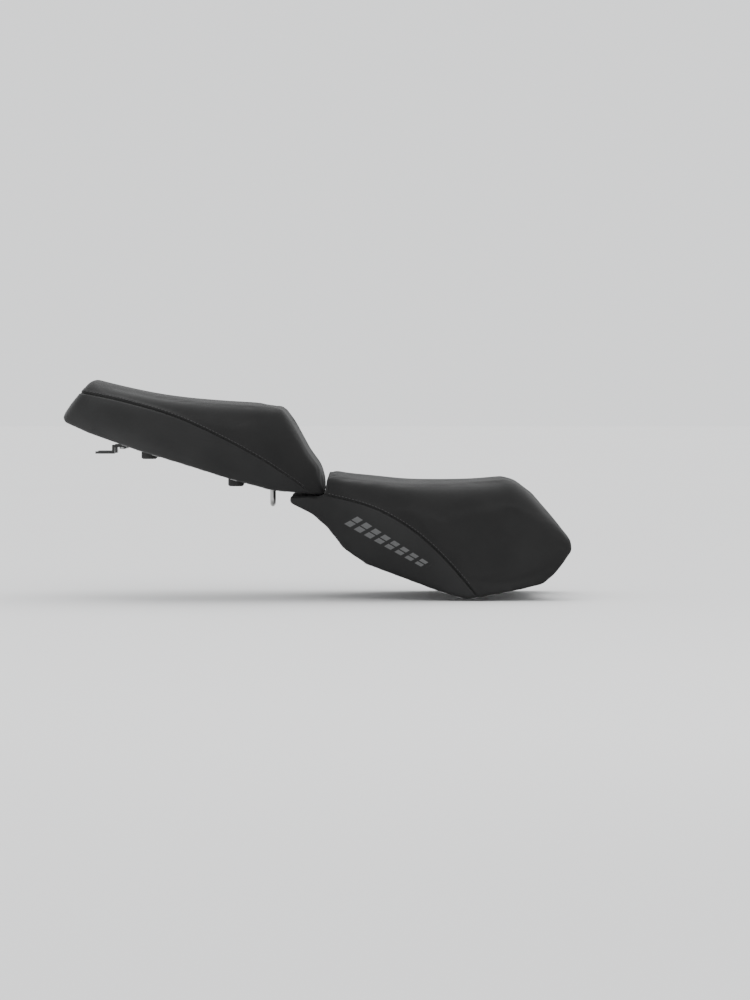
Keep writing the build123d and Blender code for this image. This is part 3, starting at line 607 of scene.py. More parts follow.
@dataclass
class SeatSurface:
    """Smooth outer surface of a seat through its stations."""

    stations: list[Station]
    tail: End
    nose: End
    skin: float = 0.0
    ROWS = (26, 12, 44, 30)

    def outline(self, station: Station, end: End, angle: float) -> np.ndarray:
        """One section's outline in its own plane, from the left hem over the crown and back.

        Args:
            station: The cross-section.
            end: Rounding of the seat's end.
            angle: Degrees round the end; 0 on the station itself.

        Returns:
            An array of sideways and upward distances in millimetres.
        """
        height = math.dist(station.crown, station.hem)
        draw = 1 - math.cos(math.radians(angle))
        inset = self.skin + draw * max(end.side - self.skin, 1)
        low = draw * max(end.hem - self.skin, 0)
        high = height - self.skin - draw * max(end.crown - self.skin, 0)
        hem = (station.hem_w - inset, low)
        waist = (station.waist_w - inset, height * station.waist)
        edge = (station.crown_w - inset, high)
        top = (0.0, high + 2 * station.dome)

        def towards(start: tuple, finish: tuple) -> tuple[float, float]:
            """A point on the way from start to finish, the corner's size from start."""
            share = min(0.6, max(station.corner - self.skin, 3) / math.dist(start, finish))
            return tuple(a + (b - a) * share for a, b in zip(start, finish))

        turn, tip = towards(edge, waist), towards(edge, top)
        side_n, corner_n, dome_n, floor_n = self.ROWS
        half = [bezier([hem, waist, turn], side_n), bezier([turn, edge, tip], corner_n)]
        dome = bezier([tip, top, (-tip[0], tip[1])], dome_n)
        mirrored = [part[::-1] * (-1, 1) for part in reversed(half)]
        last = np.vstack([[(-tip[0], tip[1])], np.vstack(mirrored)])
        floor = np.linspace((-hem[0], hem[1]), (hem[0], hem[1]), floor_n, endpoint=False)[1:]
        return np.vstack(half + [dome, last, floor])

    def rings(self) -> np.ndarray:
        """All sections in space: rings x points x 3, in millimetres."""
        places = [(self.stations[0], self.tail, angle, -1) for angle in reversed(ROUND_STEPS)]
        places += [(station, self.tail, 0, 0) for station in self.stations]
        places += [(self.stations[-1], self.nose, angle, 1) for angle in ROUND_STEPS]
        rings = []
        for station, end, angle, way in places:
            rise = np.array(
                [station.crown[0] - station.hem[0], 0, station.crown[1] - station.hem[1]], float
            )
            rise /= np.linalg.norm(rise)
            forward = np.cross((0, 1, 0), rise)
            bulge = way * max(end.bulge - self.skin, 0.5) * math.sin(math.radians(angle))
            origin = np.array([station.hem[0], 0, station.hem[1]]) + forward * bulge
            flat = self.outline(station, end, angle)
            rings.append(origin + flat[:, :1] * (0, 1, 0) + flat[:, 1:] * rise)
        return np.array(rings)

    def grid(self, spacing: float = 4.0) -> np.ndarray:
        """Rings at an even spacing, smooth above the hem and straight between stations at it.

        Args:
            spacing: Distance between rings in millimetres.

        Returns:
            Rings x points x 3, in millimetres.
        """
        rings = self.rings()
        step = np.linalg.norm(np.diff(rings, axis=0), axis=2).mean(axis=1)
        knots = np.concatenate([[0], np.cumsum(np.maximum(step, 0.5))])
        inner = (rings[2:] - rings[:-2]) / (knots[2:] - knots[:-2])[:, None, None]
        first = (rings[1] - rings[0]) / (knots[1] - knots[0])
        last = (rings[-1] - rings[-2]) / (knots[-1] - knots[-2])
        slope = np.concatenate([first[None], inner, last[None]])
        count = int(knots[-1] / spacing) + 2
        along = np.unique(np.concatenate([np.linspace(0, knots[-1], count), knots]))
        index = np.clip(np.searchsorted(knots, along, side="right") - 1, 0, len(knots) - 2)
        width = (knots[index + 1] - knots[index])[:, None, None]
        t = ((along - knots[index])[:, None, None]) / width
        low, high = rings[index], rings[index + 1]
        straight = low + (high - low) * t
        smooth = hermite(t, width, (low, high), (slope[index], slope[index + 1]))
        side_n, corner_n, dome_n, floor_n = self.ROWS
        rise = np.zeros(rings.shape[1])
        up = np.clip(np.arange(side_n) / (side_n * 0.35), 0, 1)
        rise[:side_n] = up
        rise[side_n : side_n + corner_n + dome_n + corner_n + 1] = 1
        rise[side_n + 2 * corner_n + dome_n + 1 : 2 * (side_n + corner_n) + dome_n + 1] = up[::-1]
        share = (rise * rise * (3 - 2 * rise))[None, :, None]
        return straight * (1 - share) + smooth * share


def new_object(name: str, vertices: np.ndarray, faces: list) -> bpy.types.Object:
    """Mesh object from points in metres.

    Args:
        name: Piece name.
        vertices: Points.
        faces: Vertex numbers of each face.

    Returns:
        The object, linked to the scene.
    """
    mesh = bpy.data.meshes.new(name)
    mesh.from_pydata([tuple(v) for v in vertices], [], faces)
    mesh.update()
    made = bpy.data.objects.new(name, mesh)
    bpy.context.scene.collection.objects.link(made)
    return made


def select_only(*objects: bpy.types.Object) -> None:
    """Selects these objects and makes the first one active."""
    bpy.ops.object.select_all(action="DESELECT")
    for each in objects:
        each.select_set(True)
    bpy.context.view_layer.objects.active = objects[0]


def apply_modifier(target: bpy.types.Object, kind: str, **settings: object) -> None:
    """Adds a modifier with settings and applies it."""
    select_only(target)
    modifier = target.modifiers.new(kind.title(), kind)
    for key, value in settings.items():
        setattr(modifier, key, value)
    bpy.ops.object.modifier_apply(modifier=modifier.name)


def coordinates(mesh: bpy.types.Mesh) -> np.ndarray:
    """Vertex positions of a mesh."""
    flat = np.empty(len(mesh.vertices) * 3, np.float32)
    mesh.vertices.foreach_get("co", flat)
    return flat.reshape(-1, 3).astype(float)


def normals(mesh: bpy.types.Mesh) -> np.ndarray:
    """Vertex normals of a mesh."""
    flat = np.empty(len(mesh.vertices) * 3, np.float32)
    mesh.vertex_normals.foreach_get("vector", flat)
    return flat.reshape(-1, 3).astype(float)


def place(mesh: bpy.types.Mesh, points: np.ndarray) -> None:
    """Moves the vertices of a mesh."""
    mesh.vertices.foreach_set("co", points.astype(np.float32).ravel())
    mesh.update()


def box_object(name: str, low: tuple, high: tuple) -> bpy.types.Object:
    """Block from a primitive, with its place in its mesh.

    Args:
        name: Piece name.
        low: Lowest corner in metres.
        high: Highest corner in metres.

    Returns:
        The object.
    """
    bpy.ops.object.select_all(action="DESELECT")
    bpy.ops.mesh.primitive_cube_add(size=1.0)
    made = bpy.context.active_object
    made.name = name
    size = [h - l for l, h in zip(low, high)]
    middle = [(h + l) / 2 for l, h in zip(low, high)]
    made.data.transform(Matrix.Translation(middle) @ Matrix.Diagonal((*size, 1)))
    return made


@dataclass
class SeamLine:
    """A seam seen from the side: height of the seam at each x, in millimetres."""

    points: list[tuple[float, float]]
    min_y: float = 0.0

    def height(self, x: np.ndarray) -> np.ndarray:
        """Height of the seam in metres at x in metres."""
        xs, zs = np.array(sorted(self.points), float).T * MM
        slope = np.gradient(zs, xs)
        index = np.clip(np.searchsorted(xs, x) - 1, 0, len(xs) - 2)
        width = xs[index + 1] - xs[index]
        t = (np.asarray(x) - xs[index]) / width
        ends, slopes = (zs[index], zs[index + 1]), (slope[index], slope[index + 1])
        value = hermite(np.clip(t, -0.6, 1.6), width, ends, slopes)
        outside = np.where(
            t < 0, zs[index] + slope[index] * t * width,
            zs[index + 1] + slope[index + 1] * (t - 1) * width,
        )
        return np.where((t < 0) | (t > 1), outside, value)

    def distance(self, points: np.ndarray) -> np.ndarray:
        """Signed distance in metres from the seam, positive above it."""
        x = points[:, 0]
        step = 0.5 * MM
        z = self.height(x)
        slope = (self.height(x + step) - self.height(x - step)) / (2 * step)
        along = (points[:, 2] - z) / np.sqrt(1 + slope**2)
        if self.min_y:
            inward = self.min_y * MM - np.abs(points[:, 1])
            return np.maximum(along, inward)
        return along


@dataclass
class PaddedSeat:
    """A foam seat with its sewn cover."""

    name: str
    body: str
    surface: SeatSurface
    seam: SeamLine
    hem_lines: list[tuple[float, float, float]]
    cutters: list = field(default_factory=list)
    pillow: float = 1.8 * MM
    voxel: float = 4.0 * MM
    hem_turn: float = 27.0
    notch: tuple[float, float, float] | None = None
    cover: float = 1.6 * MM
    nose_fill: float = 0.0
    skin: bpy.types.Object | None = None
    HELD_HEM = 7 * MM
    HELD_SEAM = 4 * MM
    HELD_SIDE = 60 * MM
    HELD_FLOOR = 30 * MM
    CLOTH_FRAMES = 20

    def closed_form(self) -> bpy.types.Object:
        """Closed body from the grid, cut for its neighbours and remeshed evenly."""
        grid = self.surface.grid() * MM
        rings, count, _ = grid.shape
        faces = []
        for ring in range(rings - 1):
            for column in range(count):
                after = (column + 1) % count
                faces.append(
                    (
                        ring * count + column, ring * count + after,
                        (ring + 1) * count + after, (ring + 1) * count + column,
                    )
                )
        faces.append(tuple(reversed(range(count))))
        faces.append(tuple((rings - 1) * count + i for i in range(count)))
        form = new_object(f"{self.name}_form", grid.reshape(-1, 3), faces)
        self.outward(form)
        for cutter in self.cutters:
            block = cutter()
            apply_modifier(form, "BOOLEAN", operation="DIFFERENCE", solver="EXACT", object=block)
            bpy.data.objects.remove(block)
        apply_modifier(form, "REMESH", mode="VOXEL", voxel_size=self.voxel, use_smooth_shade=True)
        apply_modifier(form, "SMOOTH", factor=0.5, iterations=4)
        return form

    @staticmethod
    def outward(target: bpy.types.Object) -> None:
        """Turns all faces outward."""
        mesh = bmesh.new()
        mesh.from_mesh(target.data)
        bmesh.ops.recalc_face_normals(mesh, faces=mesh.faces)
        mesh.to_mesh(target.data)
        mesh.free()

    def hem_height(self, x: np.ndarray) -> np.ndarray:
        """Height of the hem at x, in metres."""
        xs, zs, _ = np.array(sorted(self.hem_lines), float).T * MM
        return np.interp(x, xs, zs)

    def hem_reach(self, points: np.ndarray) -> np.ndarray:
        """How far a point is inside the seat's outline seen from below, in metres."""
        xs, _, widths = np.array(sorted(self.hem_lines), float).T * MM
        side = np.interp(points[:, 0], xs, widths) - np.abs(points[:, 1])
        reach = np.minimum(side, np.minimum(points[:, 0] - xs[0], xs[-1] - points[:, 0]))
        if self.notch:
            middle, rx, ry = (value * MM for value in self.notch)
            turn = self.hem_turn * MM
            share = np.hypot((points[:, 0] - middle) / (rx + turn), points[:, 1] / (ry + turn))
            reach = np.minimum(reach, (share - 1) * (rx + turn) + turn)
        return reach

    def swell(self, form: bpy.types.Object) -> None:
        """Blows the body up as cloth, held at its seams and hem, and keeps the small rise."""
        start = coordinates(form.data)
        seam = np.abs(self.seam.distance(start))
        below = start[:, 2] - self.hem_height(start[:, 0])
        facing = normals(form.data)
        beside = np.abs(start[:, 1]) > self.HELD_SIDE
        held = (below < self.HELD_HEM) | ((seam < self.HELD_SEAM) & beside)
        held |= (facing[:, 2] < -0.75) & (below < self.HELD_FLOOR)
        group = form.vertex_groups.new(name="held")
        group.add([int(i) for i in np.nonzero(held)[0]], 1.0, "REPLACE")
        cloth = form.modifiers.new("Cloth", "CLOTH")
        settings = cloth.settings
        settings.quality = 5
        settings.mass = 0.3
        settings.tension_stiffness = 18
        settings.compression_stiffness = 18
        settings.shear_stiffness = 6
        settings.bending_stiffness = 0.6
        settings.use_pressure = True
        settings.uniform_pressure_force = 4.0
        settings.effector_weights.gravity = 0
        settings.vertex_group_mass = "held"
        cloth.collision_settings.use_collision = False
        cloth.point_cache.frame_start = 1
        cloth.point_cache.frame_end = self.CLOTH_FRAMES
        for frame in range(1, self.CLOTH_FRAMES + 1):
            bpy.context.scene.frame_set(frame)
        graph = bpy.context.evaluated_depsgraph_get()
        moved = coordinates(form.evaluated_get(graph).data)
        form.modifiers.remove(cloth)
        bpy.context.scene.frame_set(1)
        if len(moved) != len(start):
            LOG.warning("%s: the cloth changed its points, so it is left as it was", self.name)
            return
        move = moved - start
        length = np.linalg.norm(move, axis=1)
        share = self.pillow * np.tanh(length / self.pillow) / np.maximum(length, 1e-9)
        place(form.data, start + move * share[:, None])
        LOG.info("%s: cloth moved up to %.1f mm", self.name, length.max() / MM)

    def refine(self, form: bpy.types.Object) -> None:
        """One smooth subdivision, and a second one beside the seams."""
        apply_modifier(form, "SUBSURF", levels=1, render_levels=1)
        mesh = bmesh.new()
        mesh.from_mesh(form.data)
        points = np.array([vertex.co for vertex in mesh.verts], float)
        near = np.abs(self.seam.distance(points)) < 5.5 * MM
        near &= np.abs(points[:, 2] - self.hem_height(points[:, 0])) > 1 * MM
        mesh.verts.ensure_lookup_table()
        edges = [
            edge for edge in mesh.edges if near[edge.verts[0].index] and near[edge.verts[1].index]
        ]
        bmesh.ops.subdivide_edges(mesh, edges=edges, cuts=1, use_grid_fill=True, smooth=0.0)
        mesh.to_mesh(form.data)
        mesh.free()

    @staticmethod
    def snap(form: bpy.types.Object, value: np.ndarray, reach: float) -> np.ndarray:
        """Moves the vertices next to a level line onto it.

        Args:
            form: The mesh object.
            value: Signed value at each vertex, zero on the line.
            reach: Largest size of value that may be moved.

        Returns:
            The values after the move.
        """
        points = coordinates(form.data)
        pairs = np.empty(len(form.data.edges) * 2, np.int32)
        form.data.edges.foreach_get("vertices", pairs)
        pairs = pairs.reshape(-1, 2)
        a, b = value[pairs[:, 0]], value[pairs[:, 1]]
        crossing = (a * b < 0) & (np.abs(a) < reach) & (np.abs(b) < reach)
        pairs, a, b = pairs[crossing], a[crossing], b[crossing]
        share = a / (a - b)
        spot = points[pairs[:, 0]] * (1 - share[:, None]) + points[pairs[:, 1]] * share[:, None]
        mover = np.where(share < 0.5, pairs[:, 0], pairs[:, 1])
        order = np.argsort(np.abs(np.where(share < 0.5, share, 1 - share)))[::-1]
        value = value.copy()
        points[mover[order]] = spot[order]
        value[mover[order]] = 0.0
        place(form.data, points)
        return value

    def sink_seam(self, form: bpy.types.Object, value: np.ndarray) -> None:
        """Draws the skin in along the seam and raises the folded allowance above it."""
        points = coordinates(form.data)
        away = value / MM
        groove = -1.5 * np.exp(-((away / 1.2) ** 2))
        ridge = 0.55 * np.exp(-(((away - 3.4) / 1.9) ** 2)) + 0.12 * np.exp(
            -(((away + 3.0) / 1.8) ** 2)
        )
        pucker = 0.16 * np.sin(points[:, 0] / MM * 2 * math.pi / 5.2) * np.exp(
            -(((away - 3.0) / 3.0) ** 2)
        )
        above = ((points[:, 2] - self.hem_height(points[:, 0])) / (8 * MM)).clip(0, 1)
        shift = (groove + ridge + pucker) * MM * above
        place(form.data, points + normals(form.data) * shift[:, None])

    def region(self, centre: Vector, value: float) -> Region:
        """Panel that a face belongs to."""
        if value > 0:
            return Region.TOP
        return Region.LEFT if centre.y > 0 else Region.RIGHT

    def build(self) -> list[bpy.types.Object]:
        """Makes the cover panels and the foam.

        Returns:
            The pieces: top, left, right and foam.
        """
        form = self.closed_form()
        self.swell(form)
        self.fill_nose(form)
        foam = self.foam_core(form)
        self.refine(form)
        value = self.snap(form, self.seam.distance(coordinates(form.data)), 4 * MM)
        if not self.seam.min_y:
            middle = self.middle_line(form, value)
            self.snap(form, middle, 4 * MM)
        self.sink_seam(form, value)
        reach = self.hem_reach(coordinates(form.data)) - self.hem_turn * MM
        under = self.underside(form)
        reach = np.where(under, reach, -1.0)
        reach = self.snap(form, reach, 3 * MM)
        self.skin = form
        return self.panels(form, value, reach) + [foam]

    def middle_line(self, form: bpy.types.Object, value: np.ndarray) -> np.ndarray:
        """Sideways place of the side panels' points, so that their joint lies on a line."""
        points = coordinates(form.data)
        return np.where(value < -1 * MM, points[:, 1], 1.0)

    def underside(self, form: bpy.types.Object) -> np.ndarray:
        """True where a vertex lies on the hem's own face."""
        points = coordinates(form.data)
        close = np.abs(points[:, 2] - self.hem_height(points[:, 0])) < 9 * MM
        return close & (normals(form.data)[:, 2] < -0.6)

    def panels(
        self,
        form: bpy.types.Object,
        value: np.ndarray,
        reach: np.ndarray,
    ) -> list[bpy.types.Object]:
        """Parts the skin into sewn panels with a real thickness.

        Args:
            form: The finished closed skin.
            value: Signed distance of each vertex from the seam.
            reach: Distance of each vertex past the turned hem, positive in the opening.

        Returns:
            The panels: top, left and right.
        """
        pieces = []
        for region in Region:
            piece = self.part(form, value, reach, region)
            word = region.name.lower()
            piece.name = piece.data.name = (
                f"{self.name}_top_panel" if region is Region.TOP else f"{self.name}_side_panel_{word}"
            )
            apply_modifier(
                piece, "SOLIDIFY", thickness=self.cover, offset=-1.0, use_even_offset=False
            )
            pieces.append(piece)
        return pieces

    def foam_core(self, form: bpy.types.Object) -> bpy.types.Object:
        """Foam just inside the cover, open where the pan goes in."""
        data = form.data.copy()
        foam = bpy.data.objects.new(f"{self.name}_foam_core", data)
        foam.data.name = foam.name
        bpy.context.scene.collection.objects.link(foam)
        place(data, coordinates(data) - normals(data) * (self.cover + 1.3 * MM))
        apply_modifier(foam, "REMESH", mode="VOXEL", voxel_size=1.4 * self.voxel)
        apply_modifier(foam, "SMOOTH", factor=0.5, iterations=2)
        inside = self.hem_reach(coordinates(data)) > (self.hem_turn - 3) * MM
        inside &= self.underside(foam)
        mesh = bmesh.new()
        mesh.from_mesh(data)
        drop = [face for face in mesh.faces if all(inside[vertex.index] for vertex in face.verts)]
        bmesh.ops.delete(mesh, geom=drop, context="FACES")
        for face in mesh.faces:
            face.smooth = True
        mesh.to_mesh(data)
        mesh.free()
        apply_modifier(foam, "SOLIDIFY", thickness=9 * MM, offset=-1.0, use_even_offset=False)
        return foam

    def fill_nose(self, form: bpy.types.Object) -> None:
        """Rounds out the lower face of the nose."""
        if not self.nose_fill:
            return
        points = coordinates(form.data)
        facing = normals(form.data)[:, 0].clip(0)
        level = (points[:, 2] - 0.121) / 0.016
        points[:, 0] += self.nose_fill * facing * np.exp(-(level**2)) * (points[:, 0] > -0.09)
        place(form.data, points)

    def part(
        self,
        form: bpy.types.Object,
        value: np.ndarray,
        reach: np.ndarray,
        region: Region,
    ) -> bpy.types.Object:
        """Copy of the skin with only one region's faces."""
        data = form.data.copy()
        piece = bpy.data.objects.new("part", data)
        bpy.context.scene.collection.objects.link(piece)
        mesh = bmesh.new()
        mesh.from_mesh(data)
        mesh.verts.ensure_lookup_table()
        drop = []
        for face in mesh.faces:
            corners = [vertex.index for vertex in face.verts]
            open_floor = sum(reach[i] for i in corners) > 0 and min(reach[i] for i in corners) >= -1e-6
            if open_floor:
                drop.append(face)
                continue
            mean = sum(value[i] for i in corners)
            if self.region(face.calc_center_median(), mean) is not region:
                drop.append(face)
        bmesh.ops.delete(mesh, geom=drop, context="FACES")
        for face in mesh.faces:
            face.smooth = True
        mesh.to_mesh(data)
        mesh.free()
        return piece


@dataclass
class StitchRow:
    """A row of stitches beside a seam."""

    name: str
    body: str
    pitch: float = 5.2 * MM
    length: float = 3.9 * MM
    thread: float = 0.5 * MM

    def model(self) -> tuple[np.ndarray, list]:
        """One stitch: a thread that dives into the fabric at both ends.

        Returns:
            Its points, lying along X with Z outward, and its faces.
        """
        bpy.ops.object.select_all(action="DESELECT")
        bpy.ops.mesh.primitive_cylinder_add(vertices=8, radius=self.thread, depth=self.length * 0.55)
        made = bpy.context.active_object
        bpy.ops.object.mode_set(mode="EDIT")
        for end in (1, -1):
            mesh = bmesh.from_edit_mesh(made.data)
            for face in mesh.faces:
                face.select_set(face.normal.z * end > 0.9)
            bmesh.update_edit_mesh(made.data)
            for drop, shrink in ((0.25, 0.86), (0.75, 0.6)):
                shift = (-self.thread * drop, 0, end * self.length * 0.1125)
                bpy.ops.mesh.extrude_region_move(TRANSFORM_OT_translate={"value": shift})
                bpy.ops.transform.resize(value=(shrink, shrink, 1))
        bpy.ops.object.mode_set(mode="OBJECT")
        points = coordinates(made.data)
        faces = [tuple(polygon.vertices) for polygon in made.data.polygons]
        bpy.data.objects.remove(made)
        return points[:, [2, 1, 0]] * (1, -1, 1), faces

    def sew(self, spots: list, finish: bpy.types.Material) -> bpy.types.Object:
        """Lays the stitches along a line.

        Args:
            spots: Position, outward normal and direction of each stitch.
            finish: The thread's material.

        Returns:
            The row as one piece.
        """
        points, faces = self.model()
        vertices, polygons = [], []
        for position, normal, direction in spots:
            along = (direction - normal * direction.dot(normal)).normalized()
            across = normal.cross(along)
            axes = np.array([along, across, normal], float)
            base = len(vertices) * len(points)
            lifted = np.array(position, float) + np.array(normal, float) * self.thread * 0.35
            vertices.append(points @ axes + lifted)
            polygons.extend(tuple(i + base for i in face) for face in faces)
        row = new_object(self.name, np.vstack(vertices), polygons)
        PaddedSeat.outward(row)
        for polygon in row.data.polygons:
            polygon.use_smooth = True
        row.data.materials.append(finish)
        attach(row, self.body)
        return row


class Sewing:
    """Finds where stitches go on a finished skin."""

    def __init__(self, skin: bpy.types.Object, seam: SeamLine, offset: float) -> None:
        """Keeps the skin for ray casts.

        Args:
            skin: Closed skin in metres.
            seam: The seam to follow.
            offset: Distance of the row above the seam.
        """
        self.tree = BVHTree.FromObject(skin, bpy.context.evaluated_depsgraph_get())
        self.seam = seam
        self.offset = offset

    def side_row(self, side: Side, start: float, stop: float, pitch: float) -> list:
        """Spots along one side.

        Args:
            side: Which side.
            start: First x in metres.
            stop: Last x in metres.
            pitch: Spacing in metres.

        Returns:
            Position, normal and direction of each stitch.
        """
        spots, x, step = [], start, 0.5 * MM
        while x < stop:
            z = float(self.seam.height(x))
            slope = (float(self.seam.height(x + step)) - z) / step
            lift = math.sqrt(1 + slope**2)
            level = z + self.offset * lift
            hit, normal, _, _ = self.tree.ray_cast(
                Vector((x, side.value * 0.3, level)), Vector((0, -side.value, 0))
            )
            if hit is not None and abs(normal.y) > 0.35:
                spots.append((hit, normal, Vector((1, 0, slope)).normalized()))
            x += pitch / lift
        return spots

    def back_row(self, half: float, pitch: float) -> list:
        """Spots across the back of the seat, between two sideways places."""
        spots = []
        y = -half
        while y <= half:
            level = float(self.seam.height(np.array([-0.424]))[0]) + self.offset
            hit, normal, _, _ = self.tree.ray_cast(Vector((-0.6, y, level)), Vector((1, 0, 0)))
            if hit is not None and normal.x < -0.35:
                spots.append((hit, normal, Vector((0, 1, 0))))
            y += pitch
        return spots


# ------------------------------------------------------------------------------ the two seats
RIDER = [
    Station((-85, 111.5), (-85, 66), 112, 118, 112, 14),
    Station((-50, 110), (-52, 50), 122, 134, 126, 13),
    Station((-23, 107.5), (-29, 30), 128, 148, 138, 12),
    Station((0, 103.5), (-4, -2), 131, 164, 148, 12),
    Station((40, 99.3), (30, -25), 137, 178, 160, 14),
    Station((90, 94.2), (90, -47), 146, 172, 164, 24, 0.45),
    Station((140, 92.8), (140, -65.5), 153, 150, 158, 40, 0.45),
    Station((190, 93.6), (180, -77), 157, 132, 144, 48, 0.45),
    Station((230, 96.6), (220, -70), 157, 122, 126, 48, 0.45),
    Station((250, 97.5), (262, -62), 153, 120, 116, 44, 0.45),
    Station((270, 86), (295, -54), 148, 124, 112, 40),
    Station((296, 58), (314, -38), 142, 130, 118, 26),
    Station((320, 32), (328, -20), 136, 132, 124, 14),
    Station((335, 14), (337, -7), 128, 128, 122, 6, 0.5, 2),
]
PASSENGER = [
    Station((-380, 246), (-429, 187.5), 62, 108, 84, 16),
    Station((-341, 236.3), (-391, 171.5), 88, 140, 112, 18, 0.45),
    Station((-290, 225.6), (-320, 147), 108, 168, 134, 18, 0.45),
    Station((-240, 218.8), (-250, 126), 118, 180, 144, 18, 0.45),
    Station((-185, 214.3), (-180, 104), 122, 182, 146, 17, 0.45),
    Station((-140, 211.8), (-112, 85.5), 124, 176, 144, 16, 0.45),
    Station((-105.5, 209.8), (-36, 79), 126, 168, 140, 15, 0.45),
]
RIDER_SEAM = [(-120, 92), (-30, 79), (57, 53), (108, 20.4), (170, -41.4), (206, -86)]
PASSENGER_SEAM = [
    (-460, 240), (-385, 230), (-320, 216), (-250.8, 195),
    (-182.5, 163.5), (-102, 116.3), (-62.2, 87), (-40, 66),
]
SKIN_START = 1.4


def hem_table(stations: list[Station]) -> list[tuple[float, float, float]]:
    """x, z and half width of each station's hem."""
    return [(station.hem[0], station.hem[1], station.hem_w) for station in stations]


def nose_block() -> bpy.types.Object:
    """Block that the passenger seat's nose takes out of the rider seat's tail."""
    block = box_object("nose_block", (-0.2, -0.25, 0.0762), (-0.0300, 0.25, 0.3))
    select_only(block)
    bpy.ops.object.mode_set(mode="EDIT")
    mesh = bmesh.from_edit_mesh(block.data)
    for edge in mesh.edges:
        low = all(vertex.co.z < 0.1 for vertex in edge.verts)
        edge.select_set(low and all(vertex.co.x < -0.1 for vertex in edge.verts))
    bmesh.update_edit_mesh(block.data)
    bpy.ops.transform.translate(value=(0, 0, 0.0135))
    mesh = bmesh.from_edit_mesh(block.data)
    for edge in mesh.edges:
        low = all(vertex.co.z < 0.1 for vertex in edge.verts)
        edge.select_set(low and all(vertex.co.x > -0.1 for vertex in edge.verts))
    bmesh.update_edit_mesh(block.data)
    bpy.ops.mesh.bevel(offset=0.014, segments=6)
    bpy.ops.object.mode_set(mode="OBJECT")
    return block


def tank_block() -> bpy.types.Object:
    """Block that the back of the fuel tank takes out of the rider seat's nose."""
    bpy.ops.object.select_all(action="DESELECT")
    bpy.ops.mesh.primitive_cylinder_add(vertices=96, radius=1.0, depth=0.4)
    block = bpy.context.active_object
    block.data.transform(Matrix.Diagonal((0.062 - SKIN_START * MM, 0.088 - SKIN_START * MM, 1, 1)))
    block.data.transform(Matrix.Translation((0.362, 0, 0)))
    return block


class SeatSet:
    """Both seats with everything sewn to them."""

    def __init__(self, palette: Palette) -> None:
        """Sets the seats up.

        Args:
            palette: The finishes.
        """
        self.palette = palette
        self.rider = PaddedSeat(
            "rider",
            "rider_seat",
            SeatSurface(RIDER, End(3, 2, 10, 1), End(4, 3, 8, 3), SKIN_START),
            SeamLine(RIDER_SEAM, 80.0),
            hem_table(RIDER),
            [nose_block, tank_block],
            notch=(362.0, 62.0, 88.0),
        )
        self.passenger = PaddedSeat(
            "passenger",
            "passenger_seat",
            SeatSurface(PASSENGER, End(12, 12, 34, 14), End(11, 12, 22, 26), SKIN_START),
            SeamLine(PASSENGER_SEAM),
            hem_table(PASSENGER),
            nose_fill=5.0 * MM,
        )

    def build(self) -> None:
        """Makes the padded pieces and the stitches, and ties them to the frame."""
        for seat in (self.rider, self.passenger):
            top, left, right, foam = seat.build()
            printed = "side_fabric_printed" if seat is self.rider else "side_fabric"
            for piece, finish, slot, node in (
                (top, "top_fabric", "top_fabric", "cover_top"),
                (left, printed, "side_fabric", "cover_side_left"),
                (right, printed, "side_fabric", "cover_side_right"),
                (foam, "foam", "foam", "foam"),
            ):
                piece.data.materials.clear()
                piece.data.materials.append(self.palette[finish])
                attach(piece, seat.body)
                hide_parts(f"{seat.name}_{node}")
                LOG.info("%s: %d faces", piece.name, len(piece.data.polygons))
            self.stitch(seat)

    def stitch(self, seat: PaddedSeat) -> None:
        """Sews the rows beside a seat's seams."""
        sewing = Sewing(seat.skin, seat.seam, 3.3 * MM)
        thread = self.palette["seam_thread"]
        for side in Side:
            if seat is self.rider:
                spots = sewing.side_row(side, -0.026, 0.186, StitchRow.pitch)
            else:
                spots = sewing.side_row(side, -0.418, -0.064, StitchRow.pitch)
            row = StitchRow(f"{seat.name}_stitches_{side.word}", seat.body)
            row.sew(spots, thread)
            LOG.info("%s: %d stitches", row.name, len(spots))
        if seat is self.passenger:
            row = StitchRow("passenger_stitches_back", seat.body)
            row.sew(sewing.back_row(0.055, StitchRow.pitch), thread)
        bpy.data.objects.remove(seat.skin)


@dataclass
class Fittings:
    """Hard parts that come from the CAD model and get their finishes here."""

    nodes: dict
    palette: Palette
    words: tuple = (
        ("striker_plate", "black_steel"),
        ("striker_loop", "plated_steel"),
        ("screws", "screw_steel"),
        ("staples", "staple_steel"),
        ("buffer", "rubber"),
        ("hook", "black_steel"),
        ("tongue", "black_steel"),
        ("cam_shaft", "plated_steel"),
        ("cam_clips", "plated_steel"),
        ("height_cam", "cam_plastic"),
        ("cam_lever", "cam_plastic"),
        ("bail_wire", "bail_steel"),
        ("bail_sleeve", "rubber"),
        ("pan", "pan_plastic"),
    )

    def dress(self) -> None:
        """Gives each hard node its finish."""
        for name, node in self.nodes.items():
            for word, finish in self.words:
                if word in name and "cover" not in name and "foam" not in name:
                    node.data.materials.clear()
                    node.data.materials.append(self.palette[finish])
                    LOG.info("%s: %s", name, finish)
                    break


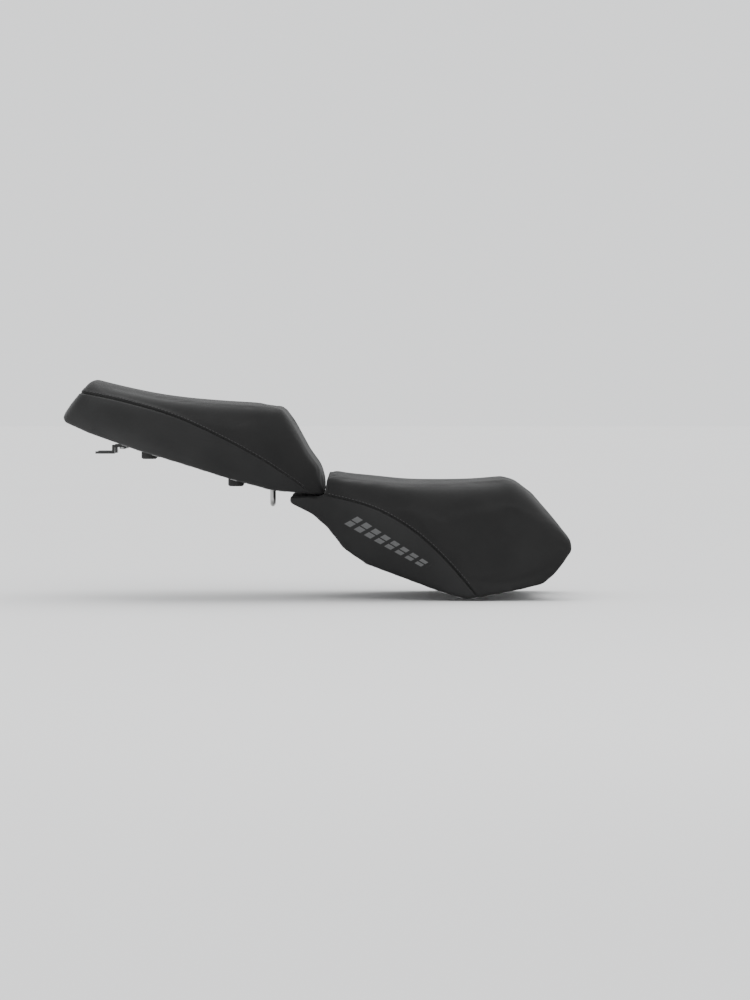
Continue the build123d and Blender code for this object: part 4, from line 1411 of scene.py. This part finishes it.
@dataclass
class Studio:
    """Floor, light and camera."""

    floor_z: float = -0.0795
    target: tuple = (0.0425, -0.14, 0.072)
    distance: float = 6.0
    elevation: float = 1.8
    width: float = 1.125
    surround: float = 1.35

    def build(self) -> None:
        """Makes everything that isn't part of the seat."""
        self.floor()
        self.lights()
        self.camera()

    def floor(self) -> None:
        """Pale floor."""
        bpy.ops.object.select_all(action="DESELECT")
        bpy.ops.mesh.primitive_plane_add(size=40.0, location=(0, 0, self.floor_z))
        floor = bpy.context.active_object
        floor.name = "floor"
        shader = Shader("floor")
        shade = shader.noise(0.8, 2)
        floor.data.materials.append(
            shader.finish(
                Base_Color=shader.mix(shade, grey(0.67), grey(0.69)),
                Roughness=0.9,
            )
        )

    def lights(self) -> None:
        """Soft light from above and from the camera's side, over a pale surround."""
        world = bpy.data.worlds.new("surround")
        world.use_nodes = True
        background = world.node_tree.nodes["Background"]
        background.inputs["Color"].default_value = (0.98, 0.99, 1.0, 1)
        background.inputs["Strength"].default_value = self.surround
        bpy.context.scene.world = world
        sky = self.lamp("sky", "SUN", (0.3, 0.9, 2.4), 2.3)
        sky.angle = math.radians(70)
        key = self.lamp("key", "AREA", (0.9, -2.4, 1.6), 14.0)
        key.size = 1.6

    @staticmethod
    def lamp(name: str, kind: str, place_at: tuple, power: float) -> bpy.types.Light:
        """Adds a lamp that points at the seat.

        Args:
            name: Name of the lamp.
            kind: Blender's kind of light.
            place_at: Where it stands, in metres.
            power: Its energy.

        Returns:
            The light's data.
        """
        data = bpy.data.lights.new(name, kind)
        data.energy = power
        lamp = bpy.data.objects.new(name, data)
        lamp.location = place_at
        aim = Vector((0, 0, 0.08)) - Vector(place_at)
        lamp.rotation_euler = aim.to_track_quat("-Z", "Y").to_euler()
        bpy.context.scene.collection.objects.link(lamp)
        return data

    def camera(self) -> None:
        """Long-lens camera at the side, slightly above."""
        data = bpy.data.cameras.new("camera")
        data.sensor_fit = "HORIZONTAL"
        data.sensor_width = 36.0
        data.lens = 36.0 * self.distance / self.width
        data.clip_end = 100.0
        camera = bpy.data.objects.new("camera", data)
        tilt = math.radians(self.elevation)
        away = Vector((0, -math.cos(tilt), math.sin(tilt))) * self.distance
        camera.location = Vector(self.target) + away
        camera.rotation_euler = (-away).to_track_quat("-Z", "Y").to_euler()
        bpy.context.scene.collection.objects.link(camera)
        bpy.context.scene.camera = camera


def main() -> None:
    """Builds the whole scene."""
    logging.basicConfig(level=logging.INFO, format="%(name)s: %(message)s", stream=sys.stdout)
    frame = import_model()
    palette = Palette()
    Studio().build()
    SeatSet(palette).build()
    Fittings(frame["nodes"], palette).dress()


if __name__ == "__main__":
    main()
